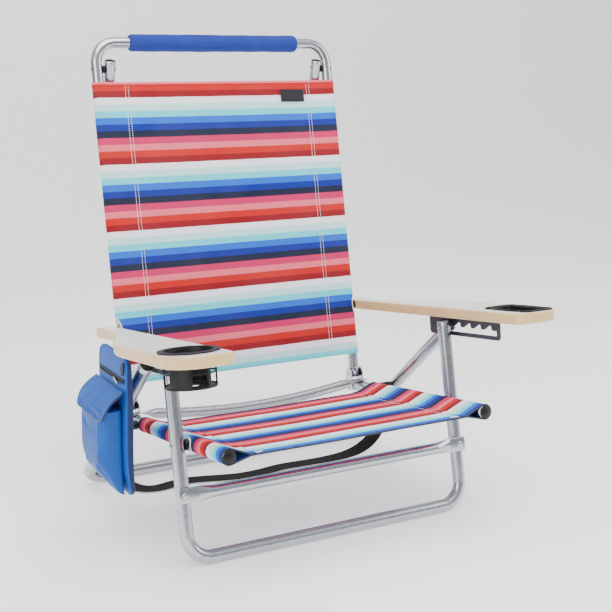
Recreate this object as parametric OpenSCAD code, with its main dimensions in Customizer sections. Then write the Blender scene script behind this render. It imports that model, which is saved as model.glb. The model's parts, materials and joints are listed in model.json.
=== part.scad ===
// Folding lay-flat beach chair with wooden armrests.
// The front is towards -Y, the sitter's right is towards -X, and the floor is at z = 0.

/* [Tubes] */
// Diameter of the seat, front leg and rear leg tubes
tube_d = 25.4; // [24:0.2:26]
// Diameter of the back frame tube
back_tube_d = 22.2; // [21:0.2:23]
// Diameter of the support leg tube
support_tube_d = 22; // [19:0.5:22]
// Wall of every tube
tube_wall = 1.6; // [1.2:0.1:2]

/* [Seat] */
// Distance from the middle of the chair to each seat rail and back rail
rail_x = 262; // [255:1:262]
// Length of a seat rail
seat_len = 486; // [486:1:490]
// Slope of the seat, down towards the back
seat_tilt = 8; // [7:0.5:9]
// Height of the front end of the seat rails
seat_front_z = 233; // [230:1:236]
// Distance along the rail to the front leg pivot
front_pivot_d = 153; // [150:1:156]
// Distance along the rail to the rear leg pivot
rear_pivot_d = 409; // [406:1:412]
// Thickness of the seat and back cloth
cloth_t = 1.5; // [1.2:0.1:1.6]

/* [Legs] */
// Distance from the middle of the chair to each front leg
front_leg_x = 293; // [292.5:0.5:293.5]
// Lean of the front legs, back from upright
front_lean = 12.2; // [11:0.1:13]
// Length of a front leg above its pivot
front_leg_up = 159; // [155:1:160]
// Height of the front crossbar above the bottom bar, along the leg
crossbar_up = 117; // [110:1:120]
// Distance from the middle of the chair to each rear leg
rear_leg_x = 324; // [323:0.5:325]
// Lean of the rear legs, forward from upright
rear_lean = 48.8; // [48:0.1:50]
// Length of a rear leg above its pivot
rear_leg_up = 264; // [258:1:266]
// Bend radius of the leg corners
leg_bend = 45; // [40:1:55]

/* [Back] */
// Lean of the back, from upright
back_lean = 11.3; // [11:0.1:12]
// Length from the hinge to the axis of the top tube
back_len = 728; // [720:1:740]
// Bend radius of the top corners
back_bend = 42; // [38:1:50]
// Distance from the hinge to the lower edge of the back cloth
back_cloth_low = 45; // [42:1:50]
// Distance from the hinge to the upper edge of the back cloth
back_cloth_high = 647; // [640:1:650]
// Distance from the hinge to the support leg pivot
support_pivot_d = 675; // [672:1:680]
// Distance from the hinge to the armrest pivot
arm_pivot_d = 152; // [150:1:154]

/* [Armrests] */
// Slope of the armrests, up towards the front
arm_tilt = 7.7; // [7:0.1:8]
// Thickness of an armrest board
arm_t = 20; // [18:0.5:22]
// Distance from the middle of the chair to the inner edge of a board
arm_inner_x = 277; // [277:0.5:279]
// Width of a board at its rear end
arm_narrow = 35; // [33:1:38]
// Width of a board at its front
arm_wide = 108; // [104:1:112]
// Length of a board in front of its pivot
arm_front_u = 580; // [575:1:590]
// Inner radius of the cup holder
cup_r = 40; // [38:0.5:41]
// Depth of the cup holder below the board's top face
cup_depth = 58; // [55:1:75]

/* [Hidden] */
$fn = 48;

tube_r = tube_d / 2;
back_r = back_tube_d / 2;
support_r = support_tube_d / 2;
pin_gap = 0.05;         // radial clearance of every pin and rivet
pin_r = 3;
rivet_r = 2.4;
seat_front_y = -218;
hinge_d = 476;          // hinge place along the seat rail
hinge_rise = 27.4;      // hinge height above the rail's axis
seat_cross_d = 450;     // rear crossbar place along the seat rail
seat_cross_bow = 20;
support_x = 235;
support_len = 181;      // from the support leg's pivot to its bottom bar
support_rest = 23.4;    // angle between support leg and back
sleeve_gap = 0.4;       // cloth stands this far off the tube it wraps
plate_t = 2;
model_shift = [9.5, -73.9, 0];   // puts the origin under the middle of the whole chair

// A point at distance d along the seat rail and height h off its axis, as [y, z]
function seat_point(d, h = 0) = [
    seat_front_y + d * cos(seat_tilt) + h * sin(seat_tilt),
    seat_front_z - d * sin(seat_tilt) + h * cos(seat_tilt)
];
front_pivot = seat_point(front_pivot_d);
rear_pivot = seat_point(rear_pivot_d);
hinge = seat_point(hinge_d, hinge_rise);
arm_pivot = hinge + arm_pivot_d * [sin(back_lean), cos(back_lean)];
front_leg_down = (front_pivot[1] - tube_r) / cos(front_lean);
rear_leg_down = (rear_pivot[1] - tube_r) / cos(rear_lean);

// ---- Frames of reference ----
module placed() translate(model_shift) children();
module in_seat() placed() translate([0, seat_front_y, seat_front_z]) rotate([-seat_tilt, 0, 0]) children();
module in_front_leg() placed() translate([0, front_pivot[0], front_pivot[1]]) rotate([-front_lean, 0, 0]) children();
module in_rear_leg() placed() translate([0, rear_pivot[0], rear_pivot[1]]) rotate([rear_lean, 0, 0]) children();
module in_back() placed() translate([0, hinge[0], hinge[1]]) rotate([-back_lean, 0, 0]) children();
module in_arm() placed() translate([0, arm_pivot[0], arm_pivot[1]]) rotate([-arm_tilt, 0, 0]) children();
module in_support() in_back() translate([0, 0, support_pivot_d]) rotate([support_rest, 0, 0]) children();

// ---- Shared shapes ----
module both_sides() {
    children();
    mirror([1, 0, 0]) children();
}
module x_rod(r, x0, x1) translate([x0, 0, 0]) rotate([0, 90, 0]) cylinder(h = x1 - x0, r = r);
module y_rod(r, y0, y1) translate([0, y0, 0]) rotate([-90, 0, 0]) cylinder(h = y1 - y0, r = r);

// A plate in a side plane: 2D x runs along +Y and 2D y along +Z
module side_plate(x0, t) translate([x0, 0, 0]) rotate([90, 0, 90]) linear_extrude(t) children();

// A rectangle with exact round corners, from corner a to corner b
module round_rect(a, b, r) {
    translate([a[0] + r, a[1]]) square([b[0] - a[0] - 2 * r, b[1] - a[1]]);
    translate([a[0], a[1] + r]) square([b[0] - a[0], b[1] - a[1] - 2 * r]);
    for (x = [a[0] + r, b[0] - r], y = [a[1] + r, b[1] - r]) translate([x, y]) circle(r = r);
}

// A U of round bar: bottom bar along X at z = 0, legs up to z = top
module u_bar(x, top, r, bend, extra = 0) {
    translate([-(x - bend), 0, 0]) x_rod(r, 0, 2 * (x - bend));
    both_sides() {
        translate([x, 0, bend]) cylinder(h = top - bend + extra, r = r);
        translate([x - bend, 0, bend]) rotate([90, 0, 0]) rotate([0, 0, -90])
            rotate_extrude(angle = 90) translate([bend, 0]) circle(r = r);
    }
}
module u_tube(x, top, r, bend) difference() {
    u_bar(x, top, r, bend);
    u_bar(x, top, r - tube_wall, bend, extra = 1);
}
module y_tube(r, len) difference() {
    y_rod(r, 0, len);
    y_rod(r - tube_wall, -1, len + 1);
}

// A moulded plug: a domed head over a tube end at z = 0, and a shank inside the tube
module end_cap(r) {
    rotate_extrude() intersection() {
        translate([0, -r * 2 + 3.2]) circle(r = r * 2);
        translate([0, 0]) square([r, 4]);
    }
    translate([0, 0, -7]) cylinder(h = 7, r = r - tube_wall - pin_gap);
}

// A rivet along +X from x0 to x1, with a low domed head at each end
module rivet(r, x0, x1, head_r = 5, head_t = 2) {
    x_rod(r, x0, x1);
    translate([x1, 0, 0]) rotate([0, 90, 0]) dome(head_r, head_t);
    translate([x0, 0, 0]) rotate([0, -90, 0]) dome(head_r, head_t);
}
module dome(r, t) rotate_extrude() intersection() {
    sphere_r = (r * r + t * t) / (2 * t);
    translate([0, t - sphere_r]) circle(r = sphere_r);
    square([r, t]);
}
module ring(r_in, r_out, x0, x1) translate([x0, 0, 0]) rotate([0, 90, 0]) difference() {
    cylinder(h = x1 - x0, r = r_out);
    translate([0, 0, -1]) cylinder(h = x1 - x0 + 2, r = r_in);
}

// ---- Seat ----
module seat_rail() difference() {
    translate([rail_x, 0, 0]) y_tube(tube_r, seat_len);
    for (d = [front_pivot_d, rear_pivot_d]) translate([0, d, 0]) x_rod(pin_r + pin_gap, rail_x - 20, rail_x + 20);
    translate([0, hinge_d, -3]) x_rod(rivet_r + pin_gap, rail_x - 20, rail_x + 20);
    translate([rail_x, seat_cross_d, 0]) cylinder(h = 30, r = rivet_r + pin_gap);
}
module seat_rail_left() color("silver") in_seat() mirror([1, 0, 0]) seat_rail();
module seat_rail_right() color("silver") in_seat() seat_rail();
module seat_rail_caps() color("#1A1C1E") in_seat() both_sides() {
    translate([rail_x, 0, 0]) rotate([90, 0, 0]) end_cap(tube_r);
    translate([rail_x, seat_len, 0]) rotate([-90, 0, 0]) end_cap(tube_r);
}

// The crossbar bows down between its flat ends, which lie on the rails
module seat_crossbar() {
    flat_x = rail_x - 14;
    arc_r = (flat_x * flat_x + seat_cross_bow * seat_cross_bow) / (2 * seat_cross_bow);
    arc_a = asin((flat_x - 34) / arc_r);
    rest_z = tube_r + 1.6;
    color("silver") in_seat() translate([0, seat_cross_d, rest_z]) {
        translate([0, 0, -seat_cross_bow + arc_r]) rotate([90, 0, 0]) rotate([0, 0, -90 - arc_a])
            rotate_extrude(angle = 2 * arc_a, $fn = 96) translate([arc_r, 0]) circle(r = tube_r - 2.2, $fn = 32);
        both_sides() {
            hull() {
                translate([flat_x - 34, 0, arc_r * (1 - cos(arc_a)) - seat_cross_bow]) rotate([0, 90 - arc_a, 0])
                    translate([0, 0, -0.5]) cylinder(h = 1, r = tube_r - 2.2, $fn = 32);
                translate([flat_x - 1, -13, -1.6]) cube([1, 26, 3.2]);
            }
            difference() {
                translate([flat_x - 1, -13, -1.6]) cube([26, 26, 3.2]);
                translate([rail_x, 0, -5]) cylinder(h = 10, r = rivet_r + pin_gap);
            }
        }
    }
}
module crossbar_rivets() color("silver") in_seat() both_sides()
    translate([rail_x, seat_cross_d, 0]) rotate([0, -90, 0]) {
        x_rod(rivet_r, tube_r - 5, tube_r + 3.2);
        translate([tube_r + 3.2, 0, 0]) rotate([0, 90, 0]) dome(5, 2);
    }

// Two plates a side carry the back's hinge above each rail
module hinge_plates() color("#8C8F93") in_seat() both_sides()
    for (x = [rail_x - tube_r - plate_t - 0.1, rail_x + tube_r + 0.1]) difference() {
        side_plate(x, plate_t) translate([hinge_d, 0]) {
            translate([-13, -9]) square([26, hinge_rise + 9]);
            translate([0, hinge_rise]) circle(r = 13);
        }
        translate([0, hinge_d, hinge_rise]) x_rod(pin_r + pin_gap, rail_x - 20, rail_x + 20);
        translate([0, hinge_d, -3]) x_rod(rivet_r + pin_gap, rail_x - 20, rail_x + 20);
    }
module hinge_rivets() color("silver") in_seat() both_sides()
    translate([0, hinge_d, -3]) rivet(rivet_r, rail_x - tube_r - plate_t - 0.1, rail_x + tube_r + plate_t + 0.1);
module hinge_pins() color("silver") in_seat() both_sides()
    translate([0, hinge_d, hinge_rise]) rivet(pin_r, rail_x - tube_r - plate_t - 0.1, rail_x + tube_r + plate_t + 0.1);
module hinge_washers() color("#1A1C1E") in_seat() both_sides() translate([0, hinge_d, hinge_rise]) {
    ring(pin_r + pin_gap, 8, rail_x + back_r + 0.3, rail_x + tube_r + 0.1);
    ring(pin_r + pin_gap, 8, rail_x - tube_r - 0.1, rail_x - back_r - 0.3);
}

// Cloth: a sleeve round each rail and a flat panel between them, along +Y from a to b.
// The panel's middle is at height panel_z.
module cloth(r, x, a, b, panel_z) {
    outer = r + sleeve_gap + cloth_t;
    panel_x = x - sqrt(outer * outer - panel_z * panel_z) + 0.4;
    both_sides() translate([x, a, 0]) difference() {
        y_rod(outer, 0, b - a);
        y_rod(r + sleeve_gap, -1, b - a + 1);
    }
    translate([-panel_x, a, panel_z - cloth_t / 2]) cube([2 * panel_x, b - a, cloth_t]);
}
module seat_cloth() color("#FB8E9C") in_seat() difference() {
    cloth(tube_r, rail_x, 5, 398, -7);
    both_sides() translate([0, front_pivot_d, 0]) {
        x_rod(15, rail_x + 4, rail_x + 30);
        x_rod(pin_r + 0.4, rail_x - 30, rail_x);
    }
}

// Pivots between the seat rails and the two pairs of legs
module front_pivot_bolts() color("silver") in_seat() both_sides() translate([0, front_pivot_d, 0])
    rivet(pin_r, rail_x - tube_r - sleeve_gap - cloth_t - 0.1, front_leg_x + tube_r, 5.6, 2.2);
module front_pivot_spacers() color("#1A1C1E") in_seat() both_sides() translate([0, front_pivot_d, 0])
    ring(pin_r + pin_gap, 10, rail_x + tube_r, front_leg_x - tube_r - 0.3);
module rear_pivot_bolts() color("silver") in_seat() both_sides() translate([0, rear_pivot_d, 0])
    rivet(pin_r, rail_x - tube_r, rear_leg_x + tube_r, 6, 2.2);
module rear_pivot_spacers() color("#1A1C1E") in_seat() both_sides() translate([0, rear_pivot_d, 0]) {
    middle_x = (rail_x + rear_leg_x) / 2;
    ring(pin_r + pin_gap, 9, rail_x + tube_r, middle_x - 0.2);
    ring(pin_r + pin_gap, 9, middle_x + 0.2, rear_leg_x - tube_r - 0.3);
}

// ---- Front legs ----
module front_leg_frame() color("silver") in_front_leg() difference() {
    translate([0, 0, -front_leg_down]) u_tube(front_leg_x, front_leg_down + front_leg_up, tube_r, leg_bend);
    both_sides() {
        x_rod(pin_r + pin_gap, front_leg_x - 20, front_leg_x + 20);
        translate([0, 0, front_leg_up - 12]) x_rod(rivet_r + pin_gap, front_leg_x - 20, front_leg_x + 20);
        translate([front_leg_x, 0, crossbar_up - front_leg_down]) y_rod(rivet_r + pin_gap, -30, 0);
    }
}
module front_leg_caps() color("#1A1C1E") in_front_leg() both_sides()
    translate([front_leg_x, 0, front_leg_up]) end_cap(tube_r);
module front_crossbar() {
    flat_y = -tube_r - 1.8;
    color("silver") in_front_leg() translate([0, flat_y, crossbar_up - front_leg_down]) {
        x_rod(tube_r - 1.4, -(front_leg_x - 58), front_leg_x - 58);
        both_sides() {
            hull() {
                translate([front_leg_x - 58.5, 0, 0]) rotate([0, 90, 0]) cylinder(h = 0.5, r = tube_r - 1.7, $fn = 32);
                translate([front_leg_x - 18.6, -1.5, -13.8]) cube([1, 3, 27.6]);
            }
            difference() {
                translate([front_leg_x - 18.5, -1.6, -14]) cube([30.5, 3.2, 28]);
                translate([front_leg_x, 0, 0]) y_rod(rivet_r + pin_gap, -5, 5);
            }
        }
    }
}
module front_crossbar_rivets() color("silver") in_front_leg() both_sides()
    translate([front_leg_x, 0, crossbar_up - front_leg_down]) rotate([0, 0, -90]) {
        x_rod(rivet_r, tube_r - 5, tube_r + 3.4);
        translate([tube_r + 3.4, 0, 0]) rotate([0, 90, 0]) dome(5.5, 2.2);
    }
module front_notch_studs() color("silver") in_front_leg() both_sides()
    translate([0, 0, front_leg_up - 12]) rivet(rivet_r, front_leg_x - tube_r, front_leg_x + tube_r, 5, 1);

// ---- Rear legs ----
module rear_leg_frame() color("silver") in_rear_leg() difference() {
    translate([0, 0, -rear_leg_down]) u_tube(rear_leg_x, rear_leg_down + rear_leg_up, tube_r, leg_bend);
    both_sides() {
        x_rod(pin_r + pin_gap, rear_leg_x - 20, rear_leg_x + 20);
        translate([0, 0, rear_leg_up - 12]) x_rod(rivet_r + pin_gap, rear_leg_x - 20, rear_leg_x + 20);
    }
}
module rear_leg_caps() color("#1A1C1E") in_rear_leg() both_sides()
    translate([rear_leg_x, 0, rear_leg_up]) end_cap(tube_r);
module rear_notch_studs() color("silver") in_rear_leg() both_sides()
    translate([0, 0, rear_leg_up - 12]) rivet(rivet_r, rear_leg_x - tube_r, rear_leg_x + tube_r, 5, 1);

// Studs that hold the ends of the shoulder strap: one on the bottom bar, one inside the right leg
strap_left = [-258, 0, -rear_leg_down];
strap_right = [rear_leg_x - tube_r, 0, -36];
module strap_studs() color("#2A2C2F") in_rear_leg() {
    translate(strap_left + [0, 0, tube_r]) cylinder(h = 2.6, r = rivet_r);
    translate(strap_left + [0, 0, tube_r + 2.6]) cylinder(h = 1.8, r = 7);
    translate(strap_right + [-2.6, 0, 0]) x_rod(rivet_r, 0, 2.6);
    translate(strap_right + [-2.6, 0, 0]) x_rod(7, -1.8, 0);
}
module strap_holes() in_rear_leg() {
    translate(strap_left + [0, 0, tube_r - 1]) cylinder(h = 6, r = rivet_r + 0.3);
    translate(strap_right) x_rod(rivet_r + 0.3, -5, 1);
}

// The strap's middle line, in the chair's own place before model_shift
strap_route = [
    [-258, 369, 28.7], [-258, 353.9, 11.4], [-254, 330, 4.4], [-244, 303, 3.2], [-227, 281, 3], [-200, 273, 3],
    [-164, 280, 3], [-128, 283, 3], [-91, 274, 3], [-52, 262, 3], [-13, 254, 3], [38, 256, 3], [82, 263, 3],
    [139, 260, 3.4], [190, 252, 6], [236, 244, 12], [268, 234, 26], [290, 222, 50], [302.5, 212, 80],
    [309.1, 209, 111], [310.1, 215.1, 161.6]
];
strap_w = 36;
strap_t = 1.6;
function unit(v) = v / norm(v);
// The strap's face turns from up, on the floor, to the bar at one end and the leg's inner side at the other
function strap_turn(i) = min(1, max(0, (i - 13) / 5));
function strap_face(i) = i < 3 ? unit([0, -0.75 + 0.25 * i, 0.66 + 0.12 * i])
    : [-sin(90 * strap_turn(i)), 0, cos(90 * strap_turn(i))];
module strap_band() placed() {
    last = len(strap_route) - 1;
    rings = [for (i = [0:last]) let (
        dir = unit(strap_route[min(i + 1, last)] - strap_route[max(i - 1, 0)]),
        a = unit(cross(strap_face(i), dir)),
        n = unit(cross(dir, a))
    ) for (c = [[-0.5, -1], [0.5, -1], [0.5, 1], [-0.5, 1]]) strap_route[i] + a * c[0] * strap_w + n * c[1] * strap_t / 2];
    polyhedron(
        points = rings,
        faces = concat(
            [[3, 2, 1, 0], [for (k = [0:3]) 4 * last + k]],
            [for (i = [0:last - 1], k = [0:3]) let (j = (k + 1) % 4) [4 * i + k, 4 * i + j, 4 * i + 4 + j, 4 * i + 4 + k]]
        )
    );
}
module shoulder_strap() color("#15171A") difference() {
    strap_band();
    strap_holes();
}

// ---- Back ----
module back_frame() color("silver") in_back() difference() {
    translate([0, 0, back_len]) mirror([0, 0, 1]) u_tube(rail_x, back_len + 8, back_r, back_bend);
    both_sides() {
        x_rod(pin_r + pin_gap, rail_x - 20, rail_x + 20);
        translate([0, 0, arm_pivot_d]) x_rod(pin_r + pin_gap, rail_x - 20, rail_x + 20);
        translate([0, 0, support_pivot_d]) x_rod(rivet_r + pin_gap, rail_x - 20, rail_x + 20);
    }
}
module back_end_plugs() color("#1A1C1E") in_back() both_sides()
    translate([rail_x, 0, -8]) rotate([180, 0, 0]) translate([0, 0, -4]) cylinder(h = 4, r = back_r - tube_wall - pin_gap);
module back_cloth() color("#3852A6") in_back() difference() {
    rotate([90, 0, 0]) cloth(back_r, rail_x, back_cloth_low, back_cloth_high, 8);
    both_sides() translate([0, 0, arm_pivot_d]) {
        x_rod(20, rail_x + 3, rail_x + 30);
        x_rod(pin_r + 0.4, rail_x - 30, rail_x);
    }
}
module handle_foam() color("#3852A6") in_back() translate([0, 0, back_len]) difference() {
    x_rod(17.5, -190, 190);
    x_rod(back_r + 0.3, -191, 191);
}
module back_tag() color("#1A1C1E") in_back() translate([139, -8 - cloth_t / 2 - 1.2, 602]) cube([56, 0.9, 26]);
module support_rivets() color("silver") in_back() both_sides() translate([0, 0, support_pivot_d])
    rivet(rivet_r, support_x - support_r, rail_x + back_r, 5, 2);
module support_spacers() color("#1A1C1E") in_back() both_sides() translate([0, 0, support_pivot_d])
    ring(rivet_r + pin_gap, 7.5, support_x + support_r + 0.3, rail_x - back_r);

// ---- Support leg ----
module support_leg_frame() color("silver") in_support() difference() {
    translate([0, 0, -support_len]) u_tube(support_x, support_len + 17, support_r, 40);
    both_sides() x_rod(rivet_r + pin_gap, support_x - 20, support_x + 20);
}
module support_leg_caps() color("#1A1C1E") in_support() both_sides() translate([support_x, 0, 17]) end_cap(support_r);

// ---- Armrests ----
// Boards are drawn for the right side; u is the distance in front of the pivot
arm_rear_u = -24;
widen_u = [55, 345];    // the outer edge widens between these
function outer_edge(u) = let (t = min(1, max(0, (u - widen_u[0]) / (widen_u[1] - widen_u[0]))))
    arm_inner_x + arm_narrow + (arm_wide - arm_narrow) * (1 - cos(180 * t)) / 2;
front_r = 52;
front_inner_r = 16;
rear_r = 12;
// Points of an arc of radius r round c, from angle a0 to a1
function arc(c, r, a0, a1, n = 12) = [for (i = [0:n]) let (a = a0 + (a1 - a0) * i / n) c + r * [cos(a), sin(a)]];
module board_outline() {
    inner = arm_inner_x;
    narrow = arm_inner_x + arm_narrow;
    wide = arm_inner_x + arm_wide;
    front = -arm_front_u;
    rear = -arm_rear_u;
    widening = [for (i = [0:24]) let (u = widen_u[0] + (widen_u[1] - widen_u[0]) * i / 24) [outer_edge(u), -u]];
    polygon(concat(
        arc([inner + rear_r, rear - rear_r], rear_r, 180, 90),
        arc([narrow - rear_r, rear - rear_r], rear_r, 90, 0),
        widening,
        arc([wide - front_r, front + front_r], front_r, 0, -90, 20),
        arc([inner + front_inner_r, front + front_inner_r], front_inner_r, -90, -180)
    ));
}
holder_u = 504;
holder_x = 328;
tray_x = 335;
tray_len = 128;
tray_w = 60;
screw_u_right = [262, 506];
screw_u_left = [262, 440];   // the left bracket stops short of the cup holder
module board(screw_u) difference() {
    translate([0, 0, -arm_t / 2]) linear_extrude(arm_t) board_outline();
    x_rod(pin_r + pin_gap, arm_inner_x - 5, arm_inner_x + arm_narrow + 5);
    x_rod(7, arm_inner_x + arm_narrow - 6, arm_inner_x + arm_narrow + 5);
    for (u = screw_u) translate([bracket_x + 9, -u, -arm_t / 2 - 1]) cylinder(h = 7.1, r = 2);
}
module armrest_board_left() color("#E6CDA0") in_arm() mirror([1, 0, 0]) difference() {
    board(screw_u_left);
    translate([holder_x, -holder_u, -arm_t]) cylinder(h = 2 * arm_t, r = cup_r + 3.5, $fn = 72);
}
module armrest_board_right() color("#E9E7E0") in_arm() difference() {
    board(screw_u_right);
    translate([tray_x - tray_w / 2 + 5, -holder_u - tray_len / 2 + 6, -3])
        cube([tray_w - 10, tray_len - 12, arm_t]);
}

// Notched bracket under each board: u runs forward, so 2D x is -u
bracket_x = 307.3;
bracket_t = 2.4;
notch_u = [for (i = [0:4]) 321 + 33 * i];
slot_low = -41;
tooth_low = -31;
notch_high = -22;
module notched_plate(end) difference() {
    union() {
        translate([-end, -arm_t / 2 - 20]) square([end - 252, 20]);
        round_rect([-end, -49], [-252, -arm_t / 2 - 4], 8);
    }
    translate([10 - end, slot_low]) square([end - 302, tooth_low - slot_low]);
    translate([-292, (slot_low + tooth_low) / 2]) circle(d = tooth_low - slot_low);
    for (u = notch_u) if (u < end - 18) polygon([[-u - 5, tooth_low - 0.1], [-u - 2, notch_high],
        [-u + 3, notch_high], [-u + 20, tooth_low - 0.1]]);
}
module bracket(end, screw_u) {
    side_plate(bracket_x, bracket_t) notched_plate(end);
    for (u = screw_u) difference() {
        translate([bracket_x, -u - 11, -arm_t / 2 - 2.2]) cube([19, 22, 2.2]);
        translate([bracket_x + 9, -u, -arm_t]) cylinder(h = 2 * arm_t, r = 2.2);
    }
    translate([bracket_x, -screw_u[1], -arm_t / 2 - 2.2]) cube([bracket_t, screw_u[1] - 430, 2.2]);
}
module screws(screw_u) for (u = screw_u) translate([bracket_x + 9, -u, -arm_t / 2]) {
    translate([0, 0, -2.2]) cylinder(h = 8, r = 1.95);
    translate([0, 0, -2.2]) rotate([180, 0, 0]) dome(4.2, 2);
}
module arm_bracket_left() color("#55555C") in_arm() mirror([1, 0, 0]) bracket(462, screw_u_left);
module arm_bracket_right() color("#55555C") in_arm() bracket(482, screw_u_right);
module arm_screws_left() color("silver") in_arm() mirror([1, 0, 0]) screws(screw_u_left);
module arm_screws_right() color("silver") in_arm() screws(screw_u_right);

module arm_bolt() {
    head_x = rail_x - back_r - sleeve_gap - cloth_t - 0.1;
    x_rod(pin_r, head_x, arm_inner_x + arm_narrow - 6);
    translate([arm_inner_x + arm_narrow - 6, 0, 0]) rotate([0, 90, 0]) cylinder(h = 4, r = 5, $fn = 6);
    translate([head_x, 0, 0]) rotate([0, -90, 0]) dome(6, 3);
}
module arm_bolt_left() color("silver") in_arm() mirror([1, 0, 0]) arm_bolt();
module arm_bolt_right() color("silver") in_arm() arm_bolt();
module arm_washers() color("#1A1C1E") in_back() both_sides() translate([0, 0, arm_pivot_d])
    ring(pin_r + pin_gap, 9, rail_x + back_r, arm_inner_x - 0.3);

// Cup holder: a lobed rim on the board, and a cage of ribs and panels below it
module cup_holder() {
    top = arm_t / 2;
    color("#1A1C1E") in_arm() translate([-holder_x, -holder_u, 0]) {
        translate([0, 0, top]) linear_extrude(2.6) difference() {
            union() {
                circle(r = 49, $fn = 96);
                for (i = [0:9]) rotate(36 * i) translate([43.5, 0]) circle(r = 9);
            }
            circle(r = cup_r, $fn = 96);
        }
        translate([0, 0, top - cup_depth]) difference() {
            cylinder(h = cup_depth, r = cup_r + 3, $fn = 96);
            translate([0, 0, 3]) cylinder(h = cup_depth, r = cup_r, $fn = 96);
            translate([0, 0, -1]) cylinder(h = 5, r = 15);
            for (a = [0:90:270]) for (s = [-1, 1]) rotate(a + 29 + s * 29.5) translate([0, -8.5, 8])
                cube([60, 17, cup_depth - arm_t - 14]);
        }
    }
}

// Phone tray: a shallow open box in the board, with lobed long rims
module phone_tray() {
    top = arm_t / 2;
    inner = [tray_w - 16, tray_len - 18];
    color("#1A1C1E") in_arm() translate([tray_x, -holder_u, 0]) difference() {
        union() {
            translate([0, 0, top]) linear_extrude(2.6) {
                round_rect([-tray_w / 2 + 2, -tray_len / 2], [tray_w / 2 - 2, tray_len / 2], 6);
                for (s = [-1, 1], i = [-1, 0, 1]) translate([s * (tray_w / 2 - 8), i * 42]) circle(r = 10);
            }
            translate([-tray_w / 2 + 5.2, -tray_len / 2 + 6.2, -2.8]) cube([tray_w - 10.4, tray_len - 12.4, top + 2.8]);
        }
        translate([-inner[0] / 2, -inner[1] / 2, -0.8]) cube([inner[0], inner[1], 30]);
    }
}

// ---- Pouch on the left armrest ----
pouch_x = -344;         // its inner face
pouch_y = [12, 158];
pouch_top = 352;
pouch_low = 100;
module pouch_body() color("#1F7AD4") placed() {
    translate([pouch_x - 16, pouch_y[0], pouch_low]) cube([16, pouch_y[1] - pouch_y[0], pouch_top - pouch_low]);
    translate([pouch_x - 6, pouch_y[0] + 8, pouch_top]) cube([26, pouch_y[1] - pouch_y[0] - 44, 2]);
}
// The pocket slopes in at its foot, and the flap slopes down over its mouth
module pouch_section(points) placed() translate([0, pouch_y[0] + 6, 0]) mirror([0, 1, 0]) rotate([90, 0, 0])
    linear_extrude(pouch_y[1] - pouch_y[0] - 12) polygon([for (p = points) [pouch_x - 16.6 - p[0], p[1]]]);
module pouch_pocket() color("#1F7AD4") pouch_section([[0, 102], [10, 106], [41, 160], [41, 250], [0, 291]]);
module pouch_flap() color("#1F7AD4") pouch_section([[0, 294], [43, 251], [43, 255.5], [0, 298.5]]);
module pouch_port() color("#15171A") placed()
    translate([pouch_x - 17.6, pouch_y[0] + 14, 330]) rotate([0, 90, 0]) cylinder(h = 1.4, r = 6);

seat_rail_left();
seat_rail_right();
seat_crossbar();
seat_rail_caps();
hinge_plates();
hinge_rivets();
crossbar_rivets();
seat_cloth();
front_pivot_bolts();
front_pivot_spacers();
rear_pivot_bolts();
rear_pivot_spacers();
hinge_pins();
hinge_washers();
front_leg_frame();
front_crossbar();
front_crossbar_rivets();
front_leg_caps();
front_notch_studs();
rear_leg_frame();
rear_leg_caps();
rear_notch_studs();
strap_studs();
shoulder_strap();
back_frame();
back_end_plugs();
back_cloth();
handle_foam();
back_tag();
support_rivets();
support_spacers();
support_leg_frame();
support_leg_caps();
arm_bolt_left();
arm_bolt_right();
arm_washers();
armrest_board_left();
arm_bracket_left();
arm_screws_left();
cup_holder();
pouch_body();
pouch_pocket();
pouch_flap();
pouch_port();
armrest_board_right();
arm_bracket_right();
arm_screws_right();
phone_tray();
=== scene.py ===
import json
import math
import bmesh
import bpy
import numpy as np
from numpy import array, clip, concatenate, cos, exp, linspace, pi, sin, sqrt, vstack
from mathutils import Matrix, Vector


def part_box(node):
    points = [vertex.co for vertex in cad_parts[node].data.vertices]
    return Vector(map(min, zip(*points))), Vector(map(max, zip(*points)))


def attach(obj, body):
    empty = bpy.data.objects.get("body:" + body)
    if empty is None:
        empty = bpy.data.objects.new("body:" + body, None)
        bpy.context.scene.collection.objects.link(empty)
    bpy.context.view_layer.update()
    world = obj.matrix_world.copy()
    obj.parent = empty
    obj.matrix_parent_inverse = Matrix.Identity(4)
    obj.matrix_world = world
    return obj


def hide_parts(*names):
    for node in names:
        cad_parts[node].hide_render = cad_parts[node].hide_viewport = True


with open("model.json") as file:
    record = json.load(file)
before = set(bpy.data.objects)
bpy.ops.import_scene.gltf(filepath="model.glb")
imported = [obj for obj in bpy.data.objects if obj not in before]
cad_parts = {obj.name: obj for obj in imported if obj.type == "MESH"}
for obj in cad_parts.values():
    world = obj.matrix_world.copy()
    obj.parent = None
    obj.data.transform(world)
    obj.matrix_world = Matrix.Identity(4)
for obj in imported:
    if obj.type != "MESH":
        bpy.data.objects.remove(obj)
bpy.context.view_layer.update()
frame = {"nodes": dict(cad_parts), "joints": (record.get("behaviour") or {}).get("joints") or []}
mm = 0.001
chairX = array([1.0, 0, 0])
print("frame loaded:", len(frame["nodes"]), "nodes")

pivots = {j["name"]: array(j["pos_m"]) for j in frame["joints"]}
middleX = sum(corner.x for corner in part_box("seat_cloth")) / 2


def unit(v):
    return v / np.linalg.norm(v, axis=-1, keepdims=True)


# Axes in a side plane: x across the chair, y as given, z square to both; rows are the axes.
def sideFrame(origin, yAxis):
    yAxis = unit(array([0.0, yAxis[1], yAxis[2]]))
    start = array([middleX, origin[1], origin[2]])
    return start, array([[1, 0, 0], yAxis, [0, -yAxis[2], yAxis[1]]])


def upFrame(origin, zAxis):
    return sideFrame(origin, array([0.0, zAxis[2], -zAxis[1]]))


def leaning(degrees):   # an up axis that leans back by this much
    return array([0, math.sin(math.radians(degrees)), math.cos(math.radians(degrees))])


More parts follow.
